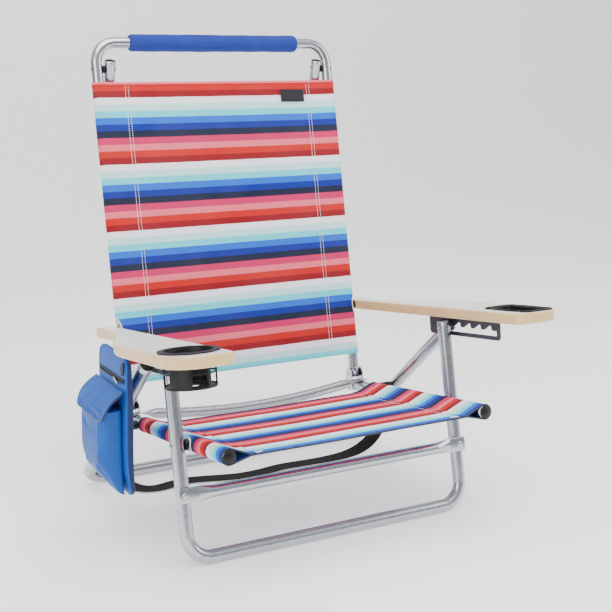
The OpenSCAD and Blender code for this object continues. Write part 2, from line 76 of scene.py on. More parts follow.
# Local millimetres to the shared frame in metres: origin plus the points times the axes.
def place(spot, points):
    origin, axes = spot
    return origin + np.asarray(points, float) * mm @ axes


seatAlong = unit(pivots["rear_leg_fold"] - pivots["front_leg_fold"])
backUp = unit(pivots["support_leg_swing"] - pivots["fold"])
frontPivotAt = 153   # millimetres from the rails' front ends
lean = {"arm": 7.7, "front": 12.2, "rear": -48.8, "support": 11.3 - 23.4}
seatSpot = sideFrame(pivots["front_leg_fold"] - seatAlong * frontPivotAt * mm, seatAlong)
backSpot = upFrame(pivots["fold"], backUp)
armSpot = upFrame(pivots["arm_tilt_left"], leaning(lean["arm"]))
frontLegSpot = upFrame(pivots["front_leg_fold"], leaning(lean["front"]))
rearLegSpot = upFrame(pivots["rear_leg_fold"], leaning(lean["rear"]))
supportSpot = upFrame(pivots["support_leg_swing"], leaning(lean["support"]))
floorSpot = (array([middleX, -0.0739, 0.0]), np.eye(3))


def addObject(name, data):
    thing = bpy.data.objects.new(name, data)
    bpy.context.scene.collection.objects.link(thing)
    return thing


# Side by side on a last axis; single values are repeated to fit
def cols(*parts):
    return np.stack(np.broadcast_arrays(*parts), -1)


def ringAngles(count):
    return linspace(0, 2 * pi, count, endpoint=False)


cameraView = {"place": (-1.00879, -1.94510, 0.87660), "turn": -28.56, "dip": 12.08, "lens": 67.98}
lensData = bpy.data.cameras.new("chairCamera")
lensData.lens = cameraView["lens"]
lensData.sensor_width = 36
chairCamera = addObject("chairCamera", lensData)
chairCamera.location = cameraView["place"]
chairCamera.rotation_euler = (math.radians(90 - cameraView["dip"]), 0, math.radians(cameraView["turn"]))
bpy.context.scene.camera = chairCamera


# sRGB hex to linear, by the sRGB curve on each channel.
def hexColour(text):
    c = array([int(text[i:i + 2], 16) / 255 for i in (1, 3, 5)])
    c = np.where(c <= 0.04045, c / 12.92, ((c + 0.055) / 1.055) ** 2.4)
    return (*[float(v) for v in c], 1.0)


def per(size):   # repeats a metre of a pattern this many millimetres long
    return 1 / (size * mm)


# A node tree, emptied; add() makes a node with its settings and links.
class Nodes:
    def __init__(self, owner):
        owner.use_nodes = True
        self.tree = owner.node_tree
        self.tree.nodes.clear()

    def add(self, kind, sockets=None, ramp=None, **settings):
        node = self.tree.nodes.new("ShaderNode" + kind)
        for key, value in settings.items():
            setattr(node, key, value)
        if ramp:
            marks = node.color_ramp.elements
            for i, (spot, colour) in enumerate(ramp):
                mark = marks[i] if i < 2 else marks.new(spot)
                mark.position = spot
                mark.color = colour
        self.wire(node, sockets or {})
        return node

    def wire(self, node, sockets):
        for key, value in sockets.items():
            if isinstance(value, bpy.types.NodeSocket):
                self.tree.links.new(value, node.inputs[key])
            else:
                node.inputs[key].default_value = value

    def maths(self, operation, a, b=0.0, c=0.0):
        return self.add("Math", {0: a, 1: b, 2: c}, operation=operation).outputs[0]

    def mixed(self, factor, a, b):
        a, b = [hexColour(v) if isinstance(v, str) else v for v in (a, b)]
        node = self.add("Mix", {0: factor, 6: a, 7: b}, data_type="RGBA")
        return node.outputs[2]

    def noise(self, vector, scale, detail=3.0, rough=0.55):
        node = self.add("TexNoise", {"Vector": vector, "Scale": scale, "Detail": detail,
            "Roughness": rough})
        return node.outputs["Fac"]

    def bump(self, height, depth, strength=1.0):
        node = self.add("Bump", {"Height": height, "Distance": depth, "Strength": strength})
        return node.outputs["Normal"]

    def stretched(self, source, scale):
        return self.add("Mapping", {"Vector": source, "Scale": scale}).outputs[0]

    def ranged(self, value, low, high):
        node = self.add("MapRange", {"Value": value, "To Min": low, "To Max": high})
        return node.outputs[0]

    def objectPoint(self):
        return self.add("TexCoord").outputs["Object"]

    def mapPoint(self):
        return self.add("UVMap", uv_map="UVMap").outputs["UV"]


# A material with one principled shader; shade() sets its inputs and gives the material.
class Finish(Nodes):
    def __init__(self, name):
        self.material = bpy.data.materials.new(name)
        super().__init__(self.material)
        self.shader = self.add("BsdfPrincipled")
        self.add("OutputMaterial", {"Surface": self.shader.outputs["BSDF"]})

    def shade(self, **sockets):
        self.wire(self.shader, {key.replace("_", " "): value for key, value in sockets.items()})
        return self.material


# Bare or coated metal: mottled tone and roughness, and fine lines along a drawn tube.
def metalFinish(name, light, dark, rough, speckSize, dieLines=False):
    f = Finish(name)
    point = f.mapPoint() if dieLines else f.objectPoint()
    mottle = f.noise(f.objectPoint(), per(speckSize), 4.0, 0.6)
    colour = f.mixed(mottle, dark, light)
    if dieLines:   # die lines run along the tube, about 0.6 mm apart around it
        lines = f.noise(f.stretched(point, (per(0.6), per(400), 1.0)), 1.0, 2.0)
        colour = f.mixed(f.ranged(lines, 0.0, 0.35), colour, dark)
        roughness = f.ranged(lines, rough - 0.05, rough + 0.10)
        normal = f.bump(lines, 0.02 * mm, 0.6)
    else:
        roughness = f.ranged(mottle, rough - 0.06, rough + 0.10)
        normal = f.bump(f.noise(point, per(0.5), 2.0), 0.03 * mm, 0.5)
    return f.shade(Base_Color=colour, Metallic=1.0, Roughness=roughness, Normal=normal)


# Clear anodised 25 mm aluminium tube, drawn through a die: pale, satin, with faint lines along it
anodisedTube = metalFinish("anodisedAluminiumTube", "#CFD2D6", "#9EA2A8", 0.20, 9, dieLines=True)
# The same aluminium on the small turned and pressed pieces
anodisedPiece = metalFinish("anodisedAluminiumPiece", "#D6D8DB", "#B6B9BE", 0.26, 6)
# Zinc plated steel rivets and bolts, headed cold: brighter and a little bluish
platedSteel = metalFinish("zincPlatedSteel", "#D9DADC", "#A4A7AC", 0.24, 3)
# Pressed steel bracket with a dark chromate coat: grey, dull, cloudy
chromatedSteel = metalFinish("darkChromatedSteel", "#606068", "#3A3A40", 0.40, 7)


# Polypropylene moulded against a spark-eroded tool: fine even grain and soft highlights.
def mouldedPlastic(name, colourText, rough):
    f = Finish(name)
    point = f.objectPoint()
    grain = f.noise(point, per(0.7), 2.0)
    cloud = f.noise(point, per(25), 2.0)
    colour = f.mixed(f.ranged(cloud, 0.0, 0.35), colourText, "#1D1F22")
    return f.shade(Base_Color=colour, Roughness=f.ranged(cloud, rough - 0.05, rough + 0.1),
        Normal=f.bump(grain, 0.08 * mm, 0.5), Specular_IOR_Level=0.3)


# Polypropylene caps, plugs and washers
blackPlastic = mouldedPlastic("mouldedBlackPolypropylene", "#0E0F10", 0.42)
# The same moulding for the cup holder and tray, a shade darker and less matt
mattPlastic = mouldedPlastic("mouldedBlackCupPlastic", "#0B0C0D", 0.38)
# Acetal, moulded glossy: the small hard parts
glossPlastic = mouldedPlastic("mouldedBlackAcetal", "#0D0E0F", 0.25)


# Lacquered hardwood: long grain along the board, pores, and a clear coat.
def boardFinish(name, light, dark, grainMix):
    f = Finish(name)
    point = f.objectPoint()
    warp = f.noise(f.stretched(point, (14.0, 3.0, 14.0)), 1.0, 2.0)
    rings = f.noise(f.stretched(point, (per(5), per(160), per(5))), 1.0, 4.0, 0.6)
    streak = f.noise(f.stretched(point, (per(1.1), per(45), per(1.1))), 1.0, 3.0, 0.6)
    grain = f.maths("MULTIPLY_ADD", rings, 0.65, f.maths("MULTIPLY", streak, 0.35))
    tone = f.maths("MULTIPLY_ADD", warp, 0.25, grain)
    spread = f.ranged(f.maths("SUBTRACT", tone, 0.35), 0.0, 1.0)
    colour = f.mixed(f.maths("MULTIPLY", spread, grainMix), light, dark)
    return f.shade(Base_Color=colour, Roughness=f.ranged(streak, 0.36, 0.5), Coat_Weight=0.35,
        Coat_Roughness=0.22, Normal=f.bump(streak, 0.05 * mm, 0.4))


# Clear lacquered beech, planed and sanded: warm cream with a straight fine grain
boardSide = boardFinish("lacqueredBeechEdge", "#E9C88F", "#B98A50", 1.0)
# Both broad faces: the beech painted almost white, with the grain just showing; the whitening is a painted
# highlight for the glare off the lacquered top
glareWhitenedBoardFace = boardFinish("beechFacePaintedGlare", "#E6E5DF", "#CFC9BC", 0.8)


# Over-and-under threads: one sine along each way, added where they cross.
def wovenBump(f, u, v, pitch):
    turn = 2 * pi / pitch
    a = f.maths("SINE", f.maths("MULTIPLY", u, turn))
    b = f.maths("SINE", f.maths("MULTIPLY", v, turn))
    return f.maths("MULTIPLY", a, b)


# Yarn-dyed polyester, plain woven: ten stripes a repeat, thread by thread, with a soft sheen.
def stripedFinish():
    stripes = ["#F5F0FB", "#BCE8E8", "#52D3E2", "#0361D2", "#06218D", "#0F1934", "#C91C5C", "#EC6677",
        "#C2150E", "#8A0413"]
    pitch = 13.35 * mm
    f = Finish("wovenStripedPolyester")
    parts = f.add("SeparateXYZ", {0: f.mapPoint()})
    u, v = parts.outputs[0], parts.outputs[1]
    wander = f.noise(f.stretched(f.mapPoint(), (per(40), per(8), 1.0)), 1.0, 2.0)
    vEdge = f.maths("MULTIPLY_ADD", f.maths("SUBTRACT", wander, 0.5), 1.2 * mm, v)
    repeat = f.maths("FRACT", f.maths("DIVIDE", vEdge, pitch * len(stripes)))
    ramp = f.add("ValToRGB", {0: repeat}, ramp=[(i / 10, hexColour(c)) for i, c in enumerate(stripes)])
    ramp.color_ramp.interpolation = "CONSTANT"
    weave = wovenBump(f, u, v, 1.4 * mm)      # real threads are 0.5 mm apart, drawn coarser to show
    slub = f.noise(f.stretched(f.mapPoint(), (per(18), per(0.8), 1.0)), 1.0, 3.0)
    tone = f.ranged(f.maths("MULTIPLY_ADD", weave, 0.12, slub), 0.86, 1.10)
    shaded = f.add("VectorMath", {0: ramp.outputs[0], 1: tone}, operation="MULTIPLY")
    cloud = f.noise(f.objectPoint(), 9.0, 2.0)
    colour = f.mixed(f.ranged(cloud, 0.0, 0.04), shaded.outputs[0], "#E8E8F0")
    return f.shade(Base_Color=colour, Roughness=0.8, Normal=f.bump(weave, 0.22 * mm, 0.5),
        Specular_IOR_Level=0.12)


# A plain woven cloth of one colour: crossed threads, slubs and a little fading.
def clothFinish(name, light, dark, pitch, depth, rough=0.75, sheen=0.25, byMap=True):
    f = Finish(name)
    source = f.mapPoint() if byMap else f.objectPoint()
    parts = f.add("SeparateXYZ", {0: source})
    u = parts.outputs[0]
    v = parts.outputs[1] if byMap else f.maths("ADD", parts.outputs[1], parts.outputs[2])
    weave = wovenBump(f, u, v, pitch)
    cloud = f.noise(f.objectPoint(), per(30), 3.0)
    tone = f.maths("MULTIPLY_ADD", weave, 0.16, cloud)
    colour = f.mixed(f.ranged(tone, 0.0, 0.8), dark, light)
    return f.shade(Base_Color=colour, Roughness=rough, Sheen_Weight=sheen, Sheen_Roughness=0.45,
        Normal=f.bump(weave, depth, 0.6), Specular_IOR_Level=0.3)


stripedCloth = stripedFinish()
# Knitted polyester sleeve over the foam: dense, matt, deep blue
foamCover = clothFinish("knittedBlueSleeve", "#253E9E", "#192C7C", 1.6 * mm, 0.25 * mm, 0.85, 0.05)
# Nylon twill with a polyurethane back: bright blue, slightly shiny, crisp creases
pouchNylon = clothFinish("coatedBlueNylon", "#0659B8", "#054696", 1.0 * mm, 0.07 * mm, 0.5, 0.0,
    byMap=False)
# Navy edging tape and gusset of the same nylon
navyTape = clothFinish("navyNylonTape", "#1D3468", "#14244C", 1.0 * mm, 0.1 * mm, 0.6, byMap=False)
# White bias tape that binds the cut-outs
whiteTape = clothFinish("whiteBiasTape", "#F6F5F8", "#DEDCE4", 0.9 * mm, 0.12 * mm)
# Dark selvedge folded round the front edge of the cloth
darkHem = clothFinish("navyFoldedHem", "#26334F", "#161F36", 1.0 * mm, 0.1 * mm)
# Plain black damask tag, folded and sewn down
blackTag = clothFinish("wovenBlackTag", "#24262A", "#121316", 0.8 * mm, 0.08 * mm)


def plainFinish(name, light, dark, rough, speck=1.0):
    f = Finish(name)
    cloud = f.noise(f.objectPoint(), per(speck), 2.0)
    return f.shade(Base_Color=f.mixed(cloud, dark, light), Roughness=rough,
        Normal=f.bump(cloud, 0.05 * mm, 0.4))


# Bonded polyester sewing thread, a touch glossy
whiteThread = plainFinish("whiteSewingThread", "#FAFAFC", "#E4E4EA", 0.45)
blueThread = plainFinish("blueSewingThread", "#1A5FB4", "#124A94", 0.5)
# Coil zip on black tape
zipTape = plainFinish("blackZipTape", "#1C1D20", "#101113", 0.6, 2.0)


# Seamless studio paper, lit a little from behind: white, matt, very slightly cloudy.
def paperFinish():
    f = Finish("mattStudioPaper")
    cloud = f.noise(f.objectPoint(), 12.0, 2.0)
    return f.shade(Base_Color=f.mixed(cloud, "#F4F4F4", "#FAFAFA"), Roughness=0.9,
        Emission_Color=hexColour("#FFFFFF"), Emission_Strength=0.42)


mattFloor = paperFinish()


# Polypropylene webbing: ribs across it every 1.8 mm and chevron threads, black with a dull shine.
def webbingFinish():
    f = Finish("wovenBlackWebbing")
    parts = f.add("SeparateXYZ", {0: f.mapPoint()})
    u, v = parts.outputs[0], parts.outputs[1]
    chevron = f.maths("PINGPONG", u, 4.5 * mm)
    ribs = f.maths("SINE", f.maths("MULTIPLY", f.maths("ADD", v, chevron), 2 * pi / (1.8 * mm)))
    cloud = f.noise(f.objectPoint(), 40.0, 3.0)
    tone = f.maths("MULTIPLY_ADD", ribs, 0.2, cloud)
    colour = f.mixed(f.ranged(tone, 0.0, 1.0), "#050506", "#141517")
    return f.shade(Base_Color=colour, Roughness=0.7, Normal=f.bump(ribs, 0.25 * mm, 0.6),
        Specular_IOR_Level=0.2)


blackWebbing = webbingFinish()
print("materials made")


# Vertices and faces into an object; maps are one (u, v) a face corner, in metres.
def makeMesh(name, vertices, faces, material, maps=None, tidy=True, weld=0.0):
    mesh = bpy.data.meshes.new(name)
    mesh.from_pydata(np.asarray(vertices).reshape(-1, 3).tolist(), [], faces)
    mesh.materials.append(material)
    if maps is not None:
        layer = mesh.uv_layers.new(name="UVMap")
        layer.data.foreach_set("uv", np.asarray(maps, np.float32).ravel())
    mesh.polygons.foreach_set("use_smooth", np.full(len(mesh.polygons), True))
    if tidy:
        work = bmesh.new()
        work.from_mesh(mesh)
        if weld:
            bmesh.ops.remove_doubles(work, verts=work.verts, dist=weld)
        bmesh.ops.recalc_face_normals(work, faces=work.faces)
        work.to_mesh(mesh)
        work.free()
    return addObject(name, mesh)


# Quads of a grid of vertices, and each corner's place in a map that is one wider where it wraps.
def gridFaces(rows, columns, wrapRows=False, wrapColumns=False):
    i, j = np.meshgrid(np.arange(rows - (not wrapRows)), np.arange(columns - (not wrapColumns)),
        indexing="ij")
    corners = [(i, j), (i + 1, j), (i + 1, j + 1), (i, j + 1)]
    spots = np.stack([(a % rows) * columns + b % columns for a, b in corners], -1).reshape(-1, 4)
    wide = columns + wrapColumns
    mapSpots = np.stack([a * wide + b for a, b in corners], -1).reshape(-1, 4)
    return spots, mapSpots


# A grid of points as a surface. ends closes a tube's first and last rows with a fan to their middle.
def gridPiece(name, points, material, maps=None, wrapRows=False, wrapColumns=False, ends=False, **more):
    rows, columns = points.shape[:2]
    spots, mapSpots = gridFaces(rows, columns, wrapRows, wrapColumns)
    vertices = points.reshape(-1, 3)
    faces = spots.tolist()
    corners = None if maps is None else maps.reshape(-1, 2)[mapSpots.ravel()]
    if ends:
        ring = np.arange(columns)
        after = np.roll(ring, -1)
        base = len(vertices)
        vertices = vstack([vertices, points[0].mean(0), points[-1].mean(0)])
        fans = vstack([cols(after, ring, np.full(columns, base)),
            cols(ring, after, np.full(columns, base + 1))
            + [[(rows - 1) * columns, (rows - 1) * columns, 0]]])
        faces += fans.tolist()
        if corners is not None:
            corners = vstack([corners, np.zeros((len(fans) * 3, 2))])
    return makeMesh(name, vertices, faces, material, maps=corners, **more)


def squarer(value, power):   # keeps the sign; powers below one push a circle out to a square
    return np.sign(value) * np.abs(value) ** power


def roundSection(sides, first=1.0, second=1.0):
    angle = ringAngles(sides)
    return cols(squarer(cos(angle), first), squarer(sin(angle), second))


# Each point's ring: path plus the section's two parts times two axes square to the path. The first axis
# is the given one made square to the path, the second is square to both.
def sweepGrid(path, across, section, scale, closed=False):
    path = np.asarray(path, float)
    if closed:
        tangent = unit(np.roll(path, -1, 0) - np.roll(path, 1, 0))
    else:
        tangent = unit(np.gradient(path, axis=0))
    across = np.broadcast_to(across, path.shape)
    first = unit(across - (across * tangent).sum(-1, keepdims=True) * tangent)
    second = np.cross(tangent, first)
    scale = np.broadcast_to(scale, (len(path), 2))
    return (path[:, None] + first[:, None] * (section[None, :, :1] * scale[:, None, :1]) + second[:, None]
        * (section[None, :, 1:] * scale[:, None, 1:]))


# u is the way round the section and v the way along the path, in metres.
def sweepMaps(path, section, scale, closed=False):
    steps = np.linalg.norm(np.diff(path, axis=0), axis=-1)
    along = concatenate([[0], np.cumsum(steps)])
    ringSteps = np.linalg.norm(np.diff(vstack([section, section[:1]]) * np.mean(scale, axis=0), axis=0),
        axis=-1)
    around = concatenate([[0], np.cumsum(ringSteps)])
    if closed:
        along = np.append(along, along[-1] + np.linalg.norm(path[0] - path[-1]))
    return cols(around[None, :], along[:, None])


# A section carried along a path; radii are one pair, or one pair a point, in mm.
def sweepPiece(name, path, across, radii, material, sides=32, section=None, closed=False, maps=None,
        **more):
    path = np.asarray(path, float)
    section = roundSection(sides) if section is None else section
    scale = np.broadcast_to(np.asarray(radii, float) * mm, (len(path), 2))
    points = sweepGrid(path, across, section, scale, closed)
    maps = sweepMaps(path, section, scale, closed) if maps is None else maps
    return gridPiece(name, points, material, maps=maps, wrapColumns=True, wrapRows=closed, ends=not closed,
        **more)


# Pieces of one material into one object, by adding up their meshes.
def joinPieces(name, pieces):
    work = bmesh.new()
    for piece in pieces:
        work.from_mesh(piece.data)
    mesh = bpy.data.meshes.new(name)
    work.to_mesh(mesh)
    work.free()
    mesh.materials.append(pieces[0].data.materials[0])
    for piece in pieces:
        bpy.data.objects.remove(piece)
    return addObject(name, mesh)


def settle(piece, body, slot, *nodes):
    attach(piece, body)
    if nodes:
        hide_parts(*nodes)
    return piece


def addModifier(piece, kind, **settings):
    modifier = piece.modifiers.new(kind.lower(), kind)
    for key, value in settings.items():
        setattr(modifier, key, value)
    return modifier


nodeFinish = {
    platedSteel: ["hinge_rivets", "crossbar_rivets", "front_pivot_bolts", "rear_pivot_bolts", "hinge_pins",
                  "front_crossbar_rivets", "front_notch_studs", "rear_notch_studs", "support_rivets",
                  "arm_bolt_left", "arm_bolt_right", "arm_screws_left", "arm_screws_right"],
    anodisedPiece: ["hinge_plates"],
    chromatedSteel: ["arm_bracket_left", "arm_bracket_right", "strap_studs"],
    blackPlastic: ["seat_rail_caps", "front_pivot_spacers", "rear_pivot_spacers", "hinge_washers",
                   "front_leg_caps", "rear_leg_caps", "back_end_plugs", "support_spacers",
                   "support_leg_caps", "arm_washers"],
    glossPlastic: ["cup_holder", "phone_tray"],
}
for material, names in nodeFinish.items():
    for name in names:
        mesh = frame["nodes"][name].data
        mesh.materials.clear()
        mesh.materials.append(material)

tube = {"sides": 40, "leg": 12.7, "back": 11.1, "support": 11.0, "bendSteps": 20, "railOut": 262.0,
    "railEnds": (1.0, 485.5)}


# A U: down one side, a quarter circle, the bottom bar, a quarter circle, and up the other side.
def uPath(half, bend, low, high):
    turn = linspace(0, pi / 2, tube["bendSteps"])
    side = linspace(high, low + bend, 30)[:-1]
    bar = linspace(-half + bend, half - bend, 30)[1:-1]
    x = concatenate([np.full(29, -half), -half + bend - bend * cos(turn), bar])
    z = concatenate([side, low + bend - bend * sin(turn), np.full(28, low)])
    n = 29 + tube["bendSteps"]
    x = concatenate([x, -x[:n][::-1]])
    z = concatenate([z, z[:n][::-1]])
    return cols(x, np.zeros_like(x), z)


def tubePiece(name, spot, path, radius, body, node):
    piece = sweepPiece(name, place(spot, path), spot[1][1], (radius, radius), anodisedTube,
        sides=tube["sides"])
    return settle(piece, body, "aluminium_tube", node)


for side, name in ((-1, "left"), (1, "right")):
    path = cols(side * tube["railOut"], linspace(*tube["railEnds"], 40), 0.0)
    rail = sweepPiece("seatRail" + name.capitalize(), place(seatSpot, path), seatSpot[1][2],
        (tube["leg"], tube["leg"]), anodisedTube, sides=tube["sides"])
    settle(rail, "seat_frame", "aluminium_tube", "seat_rail_" + name)
frontDown = (pivots["front_leg_fold"][2] / mm - tube["leg"]) / math.cos(math.radians(lean["front"]))
rearDown = (pivots["rear_leg_fold"][2] / mm - tube["leg"]) / math.cos(math.radians(lean["rear"]))
tubePiece("frontLegTube", frontLegSpot, uPath(293, 45, -frontDown, 159), tube["leg"], "front_legs",
    "front_leg_frame")
tubePiece("rearLegTube", rearLegSpot, uPath(324, 45, -rearDown, 264), tube["leg"], "rear_legs",
    "rear_leg_frame")
tubePiece("backTube", backSpot, uPath(262, 42, -728, 8) * [1, 1, -1], tube["back"], "back", "back_frame")
tubePiece("supportLegTube", supportSpot, uPath(235, 40, -181, 17), tube["support"], "support_leg",
    "support_leg_frame")


def easing(t):
    t = clip(t, 0, 1)
    return t * t * (3 - 2 * t)


# A round bar pressed flat at its ends: both half-sizes ease from the radius to the flat's.
def flatEndedBar(name, spot, end, squeeze, height, thin, wide, radius, across, body, node):
    x = linspace(-end, end, 160)
    t = easing((np.abs(x) - squeeze[0]) / (squeeze[1] - squeeze[0]))
    path = cols(x, *height(x))
    radii = cols(radius + (thin - radius) * t, radius + (wide - radius) * t)
    piece = sweepPiece(name, place(spot, path), across, radii, anodisedTube, sides=tube["sides"])
    return settle(piece, body, "aluminium_tube", node)


def seatBarHeight(x):   # bows down between the rails by a parabola 20 mm deep
    return np.full_like(x, 450.0), 14.4 - 20 * clip(1 - (x / 248) ** 2, 0, 1)


def frontBarHeight(x):
    return np.full_like(x, -14.5), np.full_like(x, 117 - frontDown)


flatEndedBar("seatCrossbarTube", seatSpot, 273, (214, 250), seatBarHeight, 1.7, 13, 10.5, seatSpot[1][2],
    "seat_frame", "seat_crossbar")
flatEndedBar("frontCrossbarTube", frontLegSpot, 305, (235, 275), frontBarHeight, 1.7, 14, 11.3,
    frontLegSpot[1][1], "front_legs", "front_crossbar")
print("tubes made")

seatCloth = {"rail": 262.0, "tube": 12.7, "side": -1, "height": -3.5, "stitchIn": 40.0, "hem": 12.0,
    "from": 1.2, "to": 398.0, "sag": 1.5, "hole": (153.0, 19.0, 12.5), "stripeAt": 398.0,
    "stripeStart": 5.1}
backCloth = {"rail": 262.0, "tube": 11.1, "side": 1, "height": 8.0, "stitchIn": 45.0, "hem": 12.0,
    "from": 45.0, "to": 647.0, "sag": 3.5, "hole": (152.0, 25.0, 14.0), "stripeAt": 647.0,
    "stripeStart": 7.72, "press": 580.0}
stripePitch = 13.35


# Half the cloth's section, from the hem under the panel, out along a tangent to the tube, round it,
# back along the other tangent to the stitch line, and on to the middle; x out from the middle, h up.
def sleeveProfile(c):
    r = c["tube"] + 1.1
    sx, sh = -c["stitchIn"], c["height"]
    dist = math.hypot(sx, sh)
    middle = math.atan2(sh, sx)
    spread = math.acos(r / dist)
    turn = 2 * pi - 2 * spread
    start = middle + c["side"] * spread
    arc = start + c["side"] * linspace(0, turn, 41)
    ring = cols(r * cos(arc), r * sin(arc))
    stitch = array([sx, sh])
    under = stitch + array([0.0, c["side"] * -1.7])
    hemEnd = under + [-c["hem"], 0]
    lead = under + (ring[0] - under) * linspace(0, 1, 9)[:, None]
    back = ring[-1] + (stitch - ring[-1]) * linspace(0, 1, 9)[:, None]
    toMiddle = cols(linspace(sx, -c["rail"], 30), np.full(30, sh))
    points = vstack([hemEnd, lead, ring[1:], back[1:], toMiddle[1:]])
    points[:, 0] += c["rail"]
    return points


# The whole section as arc length s, x and h, and the arc lengths of its marks on the right side.
def clothShape(c):
    half = sleeveProfile(c)
    whole = vstack([half * [-1, 1], half[::-1][1:]])
    s = concatenate([[0], np.cumsum(np.linalg.norm(np.diff(whole, axis=0), axis=-1))])
    outer = np.argmax(half[:, 0])
    halfS = concatenate([[0], np.cumsum(np.linalg.norm(np.diff(half, axis=0), axis=-1))])
    return {"s": s, "x": whole[:, 0], "h": whole[:, 1], "length": s[-1], "outer": halfS[outer],
        "stitch": halfS[len(half) - 29]}


# Section at s carried to d along the piece. The panel sags by a cosine both ways and puckers beside its
# stitch lines in small waves that die away in 12 mm.
def clothPoints(c, shape, s, d):
    x = np.interp(s, shape["s"], shape["x"])
    h = np.interp(s, shape["s"], shape["h"])
    inner = c["rail"] - c["stitchIn"]
    isPanel = (s > shape["stitch"]) & (s < shape["length"] - shape["stitch"])
    across = cos(clip(np.abs(x) / inner, 0, 1) * pi / 2) * isPanel
    t = (d - c["from"]) / (c["to"] - c["from"])
    h = h - c["sag"] * across * (0.55 + 0.45 * sin(pi * clip(t, 0, 1)))
    near = exp(-((inner - np.abs(x)) / 9) ** 2) * (np.abs(x) < inner + 14)
    h = h + near * 0.45 * sin(d * 2 * pi / 11.5 + 1.7 * sin(d / 47)) * c["side"]
    ripple = sin(x / 61 + d / 83) * sin(d / 57 + 1.0 + x / 140)
    h = h + 0.7 * ripple * across
    if "press" in c:   # the support leg holds the rear layer against the panel near the top
        hold = easing((d - c["press"]) / 25) * easing((251 - np.abs(x)) / 3.5)
        h = h + hold * clip(c["height"] - 0.9 - h, 0, None)
    return x, h


def stripeMap(c, d):   # metres along the stripes' own count, ten stripes a repeat
    return (c["stripeStart"] * stripePitch + c["stripeAt"] - d) * mm


def clothWorld(c, spot, x, h, d):
    parts = [x, -h, d] if c["side"] > 0 else [x, d, h]   # on the back, height is towards the sitter
    return place(spot, np.stack(parts, -1))


# The cloth as one grid in s and d. Each cut-out is a slit in the sleeve opened into an ellipse: points
# beside the slit move away from it by the ellipse's width there, less the further off they are.
def clothPiece(name, c, spot, body, slot, node):
    shape = clothShape(c)
    hole, halfD, halfS = c["hole"]
    d = np.arange(c["from"], c["to"] + 0.01, (c["to"] - c["from"]) / round((c["to"] - c["from"]) / 4))
    d = np.unique(np.round(concatenate([d[np.abs(d - hole) > halfD + 1.5], hole + halfD
        * cos(linspace(0, pi, 25)), [c["from"], c["to"]]]), 4))
    slits = [shape["outer"], shape["length"] - shape["outer"]]
    stitch = shape["stitch"]
    sides = [linspace(0, slits[0], 26), concatenate([linspace(slits[0], stitch + 14, 28)[:-1],
        linspace(stitch + 14, shape["length"] - stitch - 14, 44)[:-1],
        linspace(shape["length"] - stitch - 14, slits[1], 28)]), linspace(slits[1], shape["length"], 26)]
    width = halfS * sqrt(clip(1 - ((d - hole) / halfD) ** 2, 0, 1))
    reach = 34.0
    vertices, faces, maps = [], [], []
    count = 0
    for k, s in enumerate(sides):
        ss, dd = np.meshgrid(s, d, indexing="ij")
        moved = ss.copy()
        for slit, onSide in ((slits[0], (-1, 1, 1)[k]), (slits[1], (-1, -1, 1)[k])):
            fade = clip(1 - np.abs(ss - slit) / reach, 0, 1)
            moved = moved + onSide * width[None, :] * fade
        x, h = clothPoints(c, shape, moved, dd)
        spots, mapSpots = gridFaces(*ss.shape)
        uv = cols(moved * mm, stripeMap(c, dd)).reshape(-1, 2)
        vertices.append(clothWorld(c, spot, x, h, dd).reshape(-1, 3))
        faces += (spots + count).tolist()
        maps.append(uv[mapSpots.ravel()])
        count += ss.size
    piece = makeMesh(name, vstack(vertices), faces, stripedCloth, maps=vstack(maps), weld=0.02 * mm)
    addModifier(piece, "SOLIDIFY", thickness=1.4 * mm, offset=0)
    settle(piece, body, slot, node)
    return piece, shape


# Bias tape round each cut-out: a flattened tube along the ellipse on the sleeve.
def pipingRings(name, c, spot, shape, body):
    hole, halfD, halfS = c["hole"]
    turn = ringAngles(72)
    rings = []
    for side, slit in ((-1, shape["outer"]), (1, shape["length"] - shape["outer"])):
        s = slit + halfS * cos(turn)
        d = hole + halfD * sin(turn)
        x, h = clothPoints(c, shape, s, d)
        path = clothWorld(c, spot, x, h, d)
        rings.append(sweepPiece(name + str(side), path, chairX, (1.5, 2.0), whiteTape, sides=12,
            closed=True))
    return settle(joinPieces(name, rings), body, "striped_cloth")


# A folded edge: a thin flat loop round the cloth's end, carried along the section.
def hemBand(name, c, spot, shape, at, depth, material, body):
    s = linspace(0.5, shape["length"] - 0.5, 220)
    towards = 1 if at == c["from"] else -1
    x, h = clothPoints(c, shape, s, np.full_like(s, at))
    middle = at + towards * (depth / 2 - 0.8)
    path = clothWorld(c, spot, x, h, np.full_like(s, middle))
    along = spot[1][2] if c["side"] > 0 else spot[1][1]
    section = roundSection(20, 0.5, 0.7)
    d = middle + depth / 2 * np.append(section[:, 0], section[0, 0])
    maps = cols(s[:, None] * mm, stripeMap(c, d)[None, :])
    piece = sweepPiece(name, path, along, (depth / 2, 1.35), material, section=section, maps=maps)
    return settle(piece, body, "striped_cloth")


